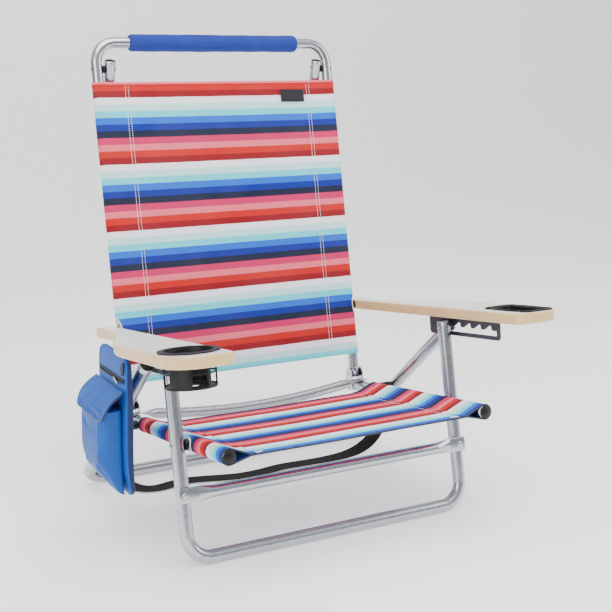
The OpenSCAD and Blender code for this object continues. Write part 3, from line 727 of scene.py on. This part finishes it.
# Stitches: the same small capsule, eight around and five along, at each centre.
def stitchRows(name, centres, directions, normals, length, body, material=whiteThread,
        slot="striped_cloth"):
    along = array([-1.0, -0.8, 0.0, 0.8, 1.0])
    size = array([0.05, 0.75, 1.0, 0.75, 0.05])
    turn = ringAngles(8)
    t = unit(np.broadcast_to(directions, centres.shape))
    n = unit(normals - (normals * t).sum(-1, keepdims=True) * t)
    b = np.cross(t, n)
    high, wide = 0.45 * mm, 0.55 * mm
    points = (centres[:, None, None] + t[:, None, None] * (along * length / 2 * mm)[None, :, None, None]
        + n[:, None, None] * (high * size[:, None] * cos(turn))[None, :, :, None] + b[:, None, None]
        * (wide * size[:, None] * sin(turn))[None, :, :, None])
    spots, _ = gridFaces(5, 8, wrapColumns=True)
    faces = (spots[None] + (np.arange(len(centres)) * 40)[:, None, None]).reshape(-1, 4)
    piece = makeMesh(name, points.reshape(-1, 3), faces.tolist(), material)
    return settle(piece, body, slot)


# Two or more rows of stitches each side of the panel, along the stitch line and just inside it.
def seamStitches(name, c, spot, shape, body, rows):
    d = np.arange(c["from"] + 3, c["to"] - 2, 4.6)
    centres = []
    alongAxis, faceOut = (spot[1][2], -spot[1][1]) if c["side"] > 0 else (spot[1][1], spot[1][2])
    for row in rows:
        for mirror in (0, 1):
            s = shape["stitch"] + row
            s = shape["length"] - s if mirror else s
            for face in (0.85, -2.4):
                x, h = clothPoints(c, shape, np.full_like(d, s), d)
                centres.append(clothWorld(c, spot, x, h + face, d))
    return stitchRows(name, vstack(centres), alongAxis, faceOut, 3.2, body)


for label, c, spot, body, node in (("seat", seatCloth, seatSpot, "seat_frame", "seat_cloth"),
        ("back", backCloth, backSpot, "back", "back_cloth")):
    piece, shape = clothPiece(label + "Cloth", c, spot, body, "striped_cloth", node)
    rings = pipingRings(label + "Piping", c, spot, shape, body)
    nearHem = hemBand(label + "LowHem", c, spot, shape, c["from"], 4 if label == "seat" else 9,
        darkHem if label == "seat" else stripedCloth, body)
    farHem = hemBand(label + "HighHem", c, spot, shape, c["to"], 9, stripedCloth, body)
    stitches = seamStitches(label + "Stitches", c, spot, shape, body, (0.0, 6.5))

# Bartacks at the front corners of the seat: a close zigzag across each sleeve's end
seatShape = clothShape(seatCloth)
tackCentres, tackDirections = [], []
for mirror in (0, 1):
    k = np.arange(26)
    s = seatShape["stitch"] - 3 + 0.9 * k
    s = seatShape["length"] - s if mirror else s
    d = np.full(26, 16.0)
    x, h = clothPoints(seatCloth, seatShape, s, d)
    tackCentres.append(clothWorld(seatCloth, seatSpot, x, h + 1.0, d))
    tackDirections.append(seatSpot[1][1] + np.where(k % 2, 0.25, -0.25)[:, None] * chairX)
stitchRows("seatBartacks", vstack(tackCentres), vstack(tackDirections), seatSpot[1][2], 9.0, "seat_frame")

handle = {"half": 190.0, "radius": 17.5, "height": 728.0, "inner": 11.4, "round": 9.0}


# A sleeve: the outer radius swells from the ends by a quarter circle, with slow dents and fine gathers
# near the ends where the cover is drawn in; the inner wall goes back along the tube.
def foamHandle(c):
    turn = ringAngles(64)
    x = c["half"] * sin(linspace(-pi / 2, pi / 2, 140))
    edge = clip((c["half"] - np.abs(x)) / c["round"], 0, 1)
    outer = c["inner"] + 0.6 + (c["radius"] - c["inner"] - 0.6) * sqrt(1 - (1 - edge) ** 2)
    xx, tt = np.meshgrid(x, turn, indexing="ij")
    r = outer[:, None] + edge[:, None] * (0.35 * sin(xx / 23) * cos(tt * 2 + xx / 60) + 0.2
        * sin(xx / 9 + tt))
    r = r + 0.3 * sin(tt * 14) * exp(-((1 - edge[:, None]) - 0.4) ** 2 / 0.1)
    innerX = linspace(c["half"], -c["half"], 12)[:, None] + 0 * turn
    x3 = vstack([xx, innerX])
    r3 = vstack([r, np.full_like(innerX, c["inner"])])
    t3 = vstack([tt, np.tile(turn, (12, 1))])
    points = place(backSpot, cols(x3, r3 * cos(t3), c["height"] + r3 * sin(t3)))
    along = np.append(x3[:, 0], x3[0, 0]) * mm
    around = np.append(turn, 2 * pi) * c["radius"] * mm
    maps = cols(around[None, :], along[:, None])
    return gridPiece("foamHandle", points, foamCover, maps=maps, wrapRows=True, wrapColumns=True)


foam = settle(foamHandle(handle), "back", "handle_foam", "handle_foam")

tag = {"x": (139.0, 195.0), "z": (602.0, 628.0), "lift": 9.7, "rows": (604.2, 625.8), "stitchLift": 10.5,
    "stitchStep": 3.2}


# A small closed pillow: two faces from a grid, half a millimetre thick and bowed a little.
def tagPiece(c):
    u, v = np.meshgrid(linspace(0, 1, 29), linspace(0, 1, 15), indexing="ij")
    x = c["x"][0] + u * (c["x"][1] - c["x"][0])
    z = c["z"][0] + v * (c["z"][1] - c["z"][0]) + 0.3 * sin(u * 7)
    bow = 0.5 * sin(pi * u) * sin(pi * v) + 0.15 * sin(u * 19) * sin(v * 9)
    points = place(backSpot, cols(x, -(c["lift"] + bow), z))
    piece = gridPiece("backTag", points, blackTag, maps=cols(x, z) * mm)
    addModifier(piece, "SOLIDIFY", thickness=0.7 * mm, offset=0)
    return settle(piece, "back", "tag_cloth", "back_tag")


tagCloth = tagPiece(tag)
stitchX, stitchZ = np.meshgrid(np.arange(tag["x"][0] + 3, tag["x"][1] - 2, tag["stitchStep"]), tag["rows"])
tagCentres = place(backSpot, cols(stitchX, -tag["stitchLift"], stitchZ).reshape(-1, 3))
stitchRows("tagStitches", tagCentres, chairX, -backSpot[1][1], 2.2, "back", zipTape, "tag_cloth")
print("handle and tag made")

board = {"inner": 277.0, "narrow": 35.0, "wide": 108.0, "rear": 24.0, "front": 580.0, "thick": 20.0,
    "widen": (55.0, 345.0), "frontOuter": 52.0, "frontInner": 16.0, "rearRound": 12.0, "edge": 3.0}


def arcPoints(cx, cy, r, a0, a1, n):
    a = np.radians(linspace(a0, a1, n))
    return cols(cx + r * cos(a), cy + r * sin(a))


# The board from above, x out and y back: round corners, and an outer edge that widens by a cosine.
def boardOutline(c):
    inner, narrow, wide = c["inner"], c["inner"] + c["narrow"], c["inner"] + c["wide"]
    u = linspace(*c["widen"], 60)
    t = (u - c["widen"][0]) / (c["widen"][1] - c["widen"][0])
    widening = cols(narrow + (wide - narrow) * (1 - cos(pi * t)) / 2, -u)
    rr, fo, fi = c["rearRound"], c["frontOuter"], c["frontInner"]
    innerEdge = cols(np.full(40, inner), linspace(-c["front"] + fi, c["rear"] - rr, 42)[1:-1])
    outerEdge = cols(np.full(18, wide), -linspace(c["widen"][1], c["front"] - fo, 20)[1:-1])
    return vstack([arcPoints(inner + rr, c["rear"] - rr, rr, 180, 90, 12),
        arcPoints(narrow - rr, c["rear"] - rr, rr, 90, 0, 12), widening, outerEdge,
        arcPoints(wide - fo, -c["front"] + fo, fo, 0, -90, 26),
        arcPoints(inner + fi, -c["front"] + fi, fi, -90, -180, 12), innerEdge])


def raised(outline, z):
    return np.column_stack([outline, np.full(len(outline), z)])


# The outline moved in along its own normals.
def inset(outline, by):
    tangent = unit(np.roll(outline, -1, 0) - np.roll(outline, 1, 0))
    return outline + by * cols(tangent[:, 1], -tangent[:, 0])


# Rings of the outline stacked from the top face, round the edge and under; the two faces and the
# opening's walls close it. hole is the opening's ring, and floorAt its depth, or None right through.
def boardPiece(name, side, hole, floorAt, body, node):
    c = board
    outline = boardOutline(c)
    arc = np.radians(linspace(0, 90, 6))
    rings = [(c["edge"] * (1 - math.sin(a)), c["thick"] / 2 - c["edge"] * (1 - math.cos(a))) for a in arc]
    rings += [(o, -z) for o, z in rings[::-1]]
    levels = np.stack([raised(inset(outline, o), z) for o, z in rings])
    holeLow = -c["thick"] / 2 if floorAt is None else floorAt
    walls = np.stack([raised(hole, z) for z in (c["thick"] / 2, holeLow)])
    n, m = len(outline), len(hole)
    outerFaces, _ = gridFaces(len(levels), n, wrapColumns=True)
    wallFaces, _ = gridFaces(len(walls), m, wrapColumns=True)
    points = vstack([levels.reshape(-1, 3), walls.reshape(-1, 3)]) * [side, 1, 1]
    wallStart = levels.shape[0] * n
    mesh = bpy.data.meshes.new(name)
    mesh.from_pydata(place(armSpot, points).tolist(), [],
        vstack([outerFaces, wallFaces + wallStart]).tolist())
    work = bmesh.new()
    work.from_mesh(mesh)
    work.verts.ensure_lookup_table()

    def loopEdges(start, count):
        verts = work.verts[start:start + count]
        return [work.edges.get((verts[k], verts[k - 1])) for k in range(count)]
    top = loopEdges(0, n) + loopEdges(wallStart, m)
    bottom = loopEdges(wallStart - n, n)
    if floorAt is None:
        bottom += loopEdges(wallStart + m, m)
    else:
        bmesh.ops.triangle_fill(work, edges=loopEdges(wallStart + m, m), use_beauty=True)
    topFill = bmesh.ops.triangle_fill(work, edges=top, use_beauty=True)["geom"]
    bottomFill = bmesh.ops.triangle_fill(work, edges=bottom, use_beauty=True)["geom"]
    # The flat top and bottom faces take the near-white material, a painted highlight for the glare on top;
    # the rounded edges take plain beech
    flats = {g for g in topFill + bottomFill if isinstance(g, bmesh.types.BMFace)}
    for face in work.faces:
        face.smooth = face not in flats
        face.material_index = 1 if face in flats else 0
    bmesh.ops.recalc_face_normals(work, faces=work.faces)
    work.to_mesh(mesh)
    work.free()
    mesh.materials.append(boardSide)
    mesh.materials.append(glareWhitenedBoardFace)
    return settle(addObject(name, mesh), body, "arm_wood", node)


cupHole = arcPoints(328, -504, 43.6, 0, 360, 97)[:-1]
alongHole = cols(1.0, linspace(-1, 1, 13)[:-1])
acrossHole = cols(linspace(1, -1, 7)[:-1], 1.0)
trayHole = vstack([alongHole, acrossHole, -alongHole, -acrossHole]) * [25.2, 58.2] + [335, -504]
boardPiece("armBoardLeft", -1, cupHole, None, "armrest_left", "armrest_board_left")
boardPiece("armBoardRight", 1, trayHole, -3.0, "armrest_right", "armrest_board_right")

cup = {"x": -328.0, "u": 504.0, "inner": 40.0, "outer": 43.0, "rim": 49.5, "lobes": 10, "top": 10.0,
    "lip": 2.6, "bottom": -48.0, "skirt": -13.0}


# Cup coordinates, height along the board's normal, to the shared frame.
def cupWorld(points):
    return place(armSpot, np.asarray(points) + [cup["x"], -cup["u"], 0])


# A ring with a rounded rectangular section: turned the whole way, or part of it with closed ends. outer
# is one radius, or a function of the angle.
def ringBlock(name, inner, outer, low, high, around=128, rounding=0.9, start=0.0, end=2 * pi):
    whole = end - start > 2 * pi - 0.001
    turn = linspace(start, end, around, endpoint=not whole)
    corner = linspace(0, pi / 2, 4)
    pts = []
    for cx, cz, a0 in ((1, 1, 0), (-1, 1, 90), (-1, -1, 180), (1, -1, 270)):
        a = math.radians(a0) + corner
        pts.append(cols(np.full(4, cx), np.full(4, cz), cos(a), sin(a)))
    pts = vstack(pts)
    far = outer(turn) if callable(outer) else np.full_like(turn, outer)
    middleR, halfR = (far + inner) / 2, (far - inner) / 2
    middleZ, halfZ = (low + high) / 2, (high - low) / 2
    rounded = min(rounding, halfZ * 0.9, float(halfR.min()) * 0.9)
    r = middleR[:, None] + pts[None, :, 0] * (halfR[:, None] - rounded) + rounded * pts[None, :, 2]
    z = middleZ + pts[None, :, 1] * (halfZ - rounded) + rounded * pts[None, :, 3] + 0 * r
    grid = cols(r * cos(turn)[:, None], r * sin(turn)[:, None], z)
    return gridPiece(name, cupWorld(grid), mattPlastic, wrapRows=whole, wrapColumns=True, ends=not whole)


def scallop(turn):   # ten round lobes: the rim's radius plus a rounded wave
    return cup["rim"] + 2.6 * sqrt(np.abs(cos(turn * cup["lobes"] / 2)))


def cupHolder(c):
    inner, outer, low, top = c["inner"], c["outer"], c["bottom"], c["top"]
    pieces = [ringBlock("cupRim", inner, scallop, top + 0.2, top + c["lip"], 240, 1.1),
        ringBlock("cupLip", inner, inner + 2.2, top + 0.4, top + c["lip"] + 0.5),
        ringBlock("cupSkirt", inner, outer, c["skirt"], top + 1),
        ringBlock("cupLowRing", inner, outer + 0.6, low, low + 4.2),
        ringBlock("cupMiddleRing", inner + 0.4, outer - 0.2, -25.0, -22.4),
        ringBlock("cupFloor", 15.0, inner + 1, low, low + 3.0)]
    wide = math.radians(4.2)
    posts = [math.radians(22.5 + 45 * k) for k in range(8)]
    pieces += [ringBlock("cupPost", inner + 0.2, outer + 0.2, low + 2, c["skirt"] + 2, 8, 0.7, a - wide, a
        + wide) for a in posts]
    pieces += [ringBlock("cupPlate", inner + 0.3, outer, low + 2, c["skirt"] + 2, 24, 0.7, a + 0.02, a
        + math.radians(44)) for a in (posts[0], posts[4])]
    return settle(joinPieces("cupHolder", pieces), "armrest_left", "black_plastic", "cup_holder")


cupHolder(cup)

tray = {"x": 335.0, "u": 504.0, "halfX": 33.0, "halfY": 66.0, "top": 10.0, "lip": 2.6, "innerX": 23.5,
    "innerY": 56.5}


# A rounded rectangle as a superellipse of the angle; the long sides swing in and out three times.
def trayOutline(angle, along, across, wave):
    x = across * squarer(cos(angle), 0.22)
    y = along * squarer(sin(angle), 0.22)
    swing = wave * (cos(y / along * pi * 2.5) ** 2 - 0.5) * np.abs(cos(angle)) ** 0.3
    return cols(x + np.sign(x) * swing, y)


# From the rim's outer edge up over the lip, down the pocket's wall and over its floor, then under.
def phoneTray(c):
    angle = ringAngles(240)
    steps = [(1.0, 0.15, 3.0), (1.0, 2.2, 3.0), (0.985, 3.0, 3.0), (0.965, 3.3, 2.9), (0.93, 3.1, 2.6),
        (0.90, 2.0, 2.2)]
    rings = []
    for share, z, wave in steps:
        outline = trayOutline(angle, c["halfY"] * share, c["halfX"] * share, wave)
        rings.append(raised(outline, c["top"] + z))
    for share, z in ((1.0, 1.7), (0.99, -1.0), (0.985, -8.0), (0.97, -11.4), (0.93, -12.0), (0.5, -12.1),
            (0.02, -12.1)):
        outline = trayOutline(angle, c["innerY"] * share, c["innerX"] * share, 0.6 * share)
        rings.append(raised(outline, c["top"] + z))
    grid = np.stack(rings) + [c["x"], -c["u"], 0]
    piece = gridPiece("phoneTray", place(armSpot, grid), mattPlastic, wrapColumns=True)
    addModifier(piece, "SOLIDIFY", thickness=0.6 * mm, offset=-1)
    return settle(piece, "armrest_right", "black_plastic", "phone_tray")


phoneTray(tray)
print("boards, cup holder and tray made")

pouch = {"inner": -344.0, "y": (12.0, 158.0), "middle": 85.0, "low": 100.0, "top": 357.0, "rim": 20.0}


# A lofted shell: at each level a rounded rectangle whose middle, half-width and depth follow the level,
# pushed in or out along creases by a bell curve across each crease line.
def softBox(name, levels, section, shapeAt, creases, sides, node):
    turn = ringAngles(sides)
    cy = squarer(cos(turn), section[0])
    cx = squarer(sin(turn), section[1])
    z = np.asarray(levels, float)
    middle, halfWidth, inner, outer = [np.asarray(v)[:, None] for v in shapeAt(z)]
    y = middle + halfWidth * cy
    x = inner + (outer - inner) * 0.5 * (1 + cx)
    zz = np.broadcast_to(z[:, None], y.shape).copy()
    push = np.zeros_like(y)
    for y0, z0, y1, z1, depth, spread in creases:
        along = array([y1 - y0, z1 - z0])
        length = np.hypot(*along)
        t = clip(((y - y0) * along[0] + (zz - z0) * along[1]) / length ** 2, 0, 1)
        gap = np.hypot(y - y0 - t * along[0], zz - z0 - t * along[1])
        push = push + depth * exp(-(gap / spread) ** 2) * sin(pi * clip(t * 0.9 + 0.05, 0, 1))
    points = place(floorSpot, cols(x - push * clip(cx, 0, 1), y, zz))
    piece = gridPiece(name, points, pouchNylon, wrapColumns=True, ends=True)
    return settle(piece, "armrest_left", "pouch_nylon", node)


def bodyShape(z):
    low, top, rim = pouch["low"], pouch["top"], pouch["rim"]
    nearTop = clip((z - (top - rim)) / rim, 0, 1)
    nearLow = clip(((low + rim) - z) / rim, 0, 1)
    rounded = np.minimum(sqrt(1 - nearTop ** 2), sqrt(1 - nearLow ** 2)) * rim
    halfWidth = (pouch["y"][1] - pouch["y"][0]) / 2 - rim + rounded
    t = clip((z - low) / (top - low), 0, 1)
    thick = 5 + 11 * sin(pi * clip(t, 0.0, 1)) ** 0.5
    inner = np.full_like(z, pouch["inner"]) - 1.0 - 1.5 * sin(t * 7)
    return np.full_like(z, pouch["middle"]), halfWidth, inner, inner - thick


# Levels from low to high, closer together towards both ends by a cosine.
def crowded(low, high, start, end, count):
    return low + (high - low) * (1 - cos(linspace(start, end, count) * pi)) / 2


pocket = {"low": 102, "high": 262, "levels": [102, 104, 110, 128, 150, 164, 180, 262],
    "depths": [1, 8, 14, 25, 36.5, 40.5, 41.5, 40]}


# The pocket's mouth is wide open under the flap; it is deepest low down, and runs in to its foot.
def pocketShape(z):
    t = clip((z - pocket["low"]) / (pocket["high"] - pocket["low"]), 0, 1)
    depth = np.interp(z, pocket["levels"], pocket["depths"])
    halfWidth = 58 + 9 * sin(clip(t * 2.2, 0, pi / 2)) - 3 * t
    inner = np.full_like(z, pouch["inner"] - 14.0)
    return pouch["middle"] + 2 * sin(t * 3), halfWidth, inner, inner - depth - 2.5


softBox("pouchBody", crowded(pouch["low"], pouch["top"], 0.02, 1, 70), (0.16, 0.75), bodyShape,
    [(30, 345, 60, 306, 1.6, 5), (70, 350, 84, 312, -1.4, 5), (120, 348, 108, 316, 1.5, 5),
    (20, 160, 60, 118, 1.6, 6)], 96, "pouch_body")
softBox("pouchPocket", crowded(pocket["low"], pocket["high"], 0.02, 0.985, 80), (0.30, 0.42), pocketShape,
    [(38, 250, 22, 150, 7.5, 9), (24, 190, 52, 128, 8.0, 8), (30, 170, 44, 112, -5.5, 6),
    (140, 240, 70, 190, -3.4, 7), (60, 236, 92, 170, 4.4, 8), (100, 160, 150, 130, 4.0, 8),
    (20, 140, 60, 176, 2.5, 7), (70, 120, 120, 112, -2.0, 6)], 110, "pouch_pocket")

flap = {"hinge": (-361.0, 297.0), "edge": (-407.0, 252.0), "y": (13.0, 157.0), "thick": 3.0}


# u runs along the chair and v from the hinge out and down; the flap bows up in its middle, and its
# lower corners are round, by pulling v in near both ends of u.
def flapPoints(c, u, v):
    corner = 18.0 / 64
    side = clip((np.abs(u - 0.5) - (0.5 - 0.13)) / 0.13, 0, 1)
    reach = 1 - corner * (1 - sqrt(1 - side ** 2))
    w = v * reach
    x = c["hinge"][0] + (c["edge"][0] - c["hinge"][0]) * w
    z = c["hinge"][1] + (c["edge"][1] - c["hinge"][1]) * w
    bow = 5.0 * sin(pi * clip(w, 0, 1)) + 2.2 * w * sin(u * 5.2 + 0.4) - 6.0 * w ** 3
    bow = bow + 0.5 * sin(u * 23 + w * 5) * w
    y = c["y"][1] + (c["y"][0] - c["y"][1]) * u
    return cols(x - bow * 0.7, y, z + bow * 0.7)


u, v = np.meshgrid(linspace(0, 1, 70), linspace(0, 1, 34), indexing="ij")
flapPiece = gridPiece("pouchFlap", place(floorSpot, flapPoints(flap, u, v)), pouchNylon)
addModifier(flapPiece, "SOLIDIFY", thickness=flap["thick"] * mm, offset=0)
addModifier(flapPiece, "BEVEL", width=0.9 * mm, segments=2, limit_method="ANGLE")
settle(flapPiece, "pouch_lid", "pouch_nylon", "pouch_flap")


def pouchTrim(name, path, across, radii, material, sides=10, closed=False, body="armrest_left"):
    piece = sweepPiece(name, place(floorSpot, path), across, radii, material, sides=sides, closed=closed)
    return settle(piece, body, "pouch_nylon")


e = linspace(0, 1, 60)
flapEdge = vstack([flapPoints(flap, np.zeros(60), e), flapPoints(flap, e, np.ones(60))[1:],
    flapPoints(flap, np.ones(60), e[::-1])[1:]])
pouchTrim("pouchFlapPiping", flapEdge, array([0.7, 0.0, 0.7]), (2.0, 2.0), navyTape, body="pouch_lid")
zEdge = crowded(pouch["low"], pouch["top"], 0.03, 0.995, 120)
middle, halfWidth, inner, outer = bodyShape(zEdge)
for offset, label, material in ((0.78, "Outer", pouchNylon), (0.12, "Inner", navyTape)):
    x = inner + (outer - inner) * offset
    path = vstack([cols(x, middle + halfWidth + 0.3, zEdge),
        cols(x, middle - halfWidth - 0.3, zEdge)[::-1]])
    pouchTrim("pouchPiping" + label, path, chairX, (1.7, 1.7), material, closed=True)

# Navy gusset down the front edge of the pouch: a thin strip that follows its edge
x = inner + (outer - inner) * 0.45
gussetPath = cols(x, middle - halfWidth + 0.1, zEdge)[12:-12]
pouchTrim("pouchGusset", gussetPath, chairX, (5.2, 1.2), navyTape, 20)

zipLine = {"rear": (150.0, 314.0), "front": (19.0, 315.0), "pull": (60.0, 312.0)}


# The pouch's outer face at y and z, from the same depths as its shell.
def bodyOuterX(y, z):
    _, half, inner, outer = bodyShape(np.asarray(z, float))
    cy = clip(np.abs(np.asarray(y) - pouch["middle"]) / half, 0, 1)
    depth = (1 - cy ** (2 / 0.16)) ** (0.75 / 2)
    return inner + (outer - inner) * 0.5 * (1 + depth)


t = linspace(0, 1, 60)
zy = zipLine["rear"][0] + (zipLine["front"][0] - zipLine["rear"][0]) * t
zz = zipLine["rear"][1] + (zipLine["front"][1] - zipLine["rear"][1]) * t
zipPath = cols(bodyOuterX(zy, zz) - 0.6, zy, zz)
pouchTrim("pouchZipTape", zipPath, array([0, 0, 1.0]), (5.0, 1.0), zipTape, 16)
teethT = linspace(0.01, 0.99, 84)
teethY = np.interp(teethT, t, zy)
teethZ = np.interp(teethT, t, zz)
teeth = place(floorSpot, cols(bodyOuterX(teethY, teethZ) - 1.9, teethY, teethZ))
stitchRows("pouchZipTeeth", teeth, [0, 0, 1.0], -chairX, 3.4, "armrest_left", glossPlastic, "pouch_nylon")
pullX = bodyOuterX(*zipLine["pull"]) - 3.2
pullPath = cols(pullX - linspace(0, 1.5, 20), 60 - linspace(-5, 17, 20), 313 - linspace(0, 5, 20))
pouchTrim("pouchZipPull", pullPath, chairX, (1.3, 3.0), platedSteel, 16)

portRing = ringAngles(48)
portCentre = (27.0, 337.0)
rr, aa = np.meshgrid(linspace(0.02, 1, 12), portRing, indexing="ij")
py = portCentre[0] + 7.5 * rr * cos(aa)
pz = portCentre[1] + 12.0 * rr * sin(aa)
px = bodyOuterX(py, pz) - 1.0 - 0.9 * sqrt(clip(1 - rr ** 6, 0, 1)) + 1.1 * exp(-(rr / 0.5) ** 2)
port = gridPiece("pouchPort", place(floorSpot, cols(px, py, pz)), blackPlastic, wrapColumns=True)
addModifier(port, "SOLIDIFY", thickness=1.2 * mm, offset=0)
settle(port, "armrest_left", "black_plastic", "pouch_port")


# Two stitch lines along the flap's lower edge, set in from it.
def pouchStitches():
    u = linspace(0.06, 0.94, 40)
    rows = [flapPoints(flap, u, np.full_like(u, v)) for v in (0.9, 0.96)]
    centres = place(floorSpot, vstack(rows) + [-1.5, 0, 1.5])
    ways = vstack([np.gradient(row, axis=0) for row in rows])
    stitchRows("pouchFlapStitches", centres, ways, array([-1.0, 0, 1.0]), 2.4, "pouch_lid", blueThread,
        "pouch_nylon")


pouchStitches()
print("pouch made")

strap = {"width": 36.0, "thick": 1.6, "stops": 5, "flatUntil": 13}
strapRoute = array([[-258, 369, 28.7], [-258, 353.9, 11.4], [-254, 330, 4.4], [-244, 303, 3.2],
    [-227, 281, 3], [-200, 273, 3], [-164, 280, 3], [-128, 283, 3], [-91, 274, 3], [-52, 262, 3],
    [-13, 254, 3], [38, 256, 3], [82, 263, 3], [139, 260, 3.4], [190, 252, 6], [236, 244, 12],
    [268, 234, 26], [290, 222, 50], [302.5, 212, 80], [309.1, 209, 111], [310.1, 215.1, 161.6]], float)


# A Catmull-Rom curve through the points, at even steps of its parameter, by Hermite weights.
def smoothLine(points, count):
    ends = vstack([2 * points[0] - points[1], points, 2 * points[-1] - points[-2]])
    t = linspace(0, len(points) - 1 - 1e-9, count)
    k = t.astype(int)
    f = (t - k)[:, None]
    a, b, c, d = ends[k], ends[k + 1], ends[k + 2], ends[k + 3]
    return 0.5 * (2 * b + (c - a) * f + (2 * a - 5 * b + 4 * c - d) * f ** 2 + (3 * b - a - 3 * c + d)
        * f ** 3)


# A flat section with round edges along the route. Its face turns from up, where it lies on the floor,
# to the tube at one end and the leg's inner side at the other.
def strapPiece():
    count = 260
    path = smoothLine(strapRoute, count)
    t = linspace(0, len(strapRoute) - 1, count)
    turn = easing((t - strap["flatUntil"]) / strap["stops"]) * pi / 2
    face = cols(-sin(turn), np.zeros(count), cos(turn))
    early = clip(1 - t / 3, 0, 1)[:, None]
    face = unit(face * (1 - early) + early * array([0, -0.75, 0.66]))
    world = place(floorSpot, path)
    piece = sweepPiece("shoulderStrap", world, face, (strap["thick"] / 2, strap["width"] / 2), blackWebbing,
        section=roundSection(24, 0.35, 0.35))
    length = np.linalg.norm(np.diff(world, axis=0), axis=-1).sum()
    settle(piece, "rear_legs", "strap_webbing", "shoulder_strap")
    return length


print("strap made,", round(strapPiece(), 3), "m")

studio = {"half": 6.0, "back": 3.5, "rise": 3.5, "bend": 1.2}


# Floor that curves up behind: flat, a quarter circle, then upright.
def studioPaper(c):
    arc = linspace(0, pi / 2, 24)
    y = concatenate([[-c["half"]], c["back"] + c["bend"] * sin(arc), [c["back"] + c["bend"]]])
    z = concatenate([[0], c["bend"] * (1 - cos(arc)), [c["rise"]]])
    x = linspace(-c["half"], c["half"], 8)
    xx, k = np.meshgrid(x, np.arange(len(y)), indexing="ij")
    return gridPiece("studioPaper", cols(xx, y[k], z[k]) - [0, 0, 0.0004], mattFloor, tidy=False)


studioPaper(studio)


def softLight(name, stand, aim, size, power):
    data = bpy.data.lights.new(name, "AREA")
    data.shape = "RECTANGLE"
    data.size, data.size_y = size
    data.energy = power
    lamp = addObject(name, data)
    lamp.location = stand
    way = array(aim, float) - array(stand, float)
    lamp.rotation_euler = (math.acos(-way[2] / np.linalg.norm(way)), 0, math.atan2(way[1], way[0]) - pi / 2)


softLight("overheadSoftbox", (-0.2, -0.6, 2.9), (0, 0, 0.4), (2.6, 2.2), 92)
softLight("leftSoftbox", (-2.6, -1.6, 1.5), (0, 0, 0.5), (1.8, 2.0), 52)
softLight("rightSoftbox", (2.6, -1.2, 1.6), (0, 0, 0.5), (1.8, 2.0), 44)
# The sky goes from grey at the horizon to white overhead, which gives the tubes their dark edges
world = bpy.data.worlds.new("paleStudio")
sky = Nodes(world)
skyParts = sky.add("SeparateXYZ", {0: sky.add("TexCoord").outputs["Generated"]})
skyRange = sky.add("MapRange", {"Value": skyParts.outputs["Z"], "From Min": -0.05, "From Max": 0.65})
skyColour = sky.mixed(skyRange.outputs[0], "#83888F", "#FFFFFF")
background = sky.add("Background", {"Color": skyColour, "Strength": 1.0})
sky.add("OutputWorld", {"Surface": background.outputs[0]})
bpy.context.scene.world = world

bpy.context.view_layer.update()
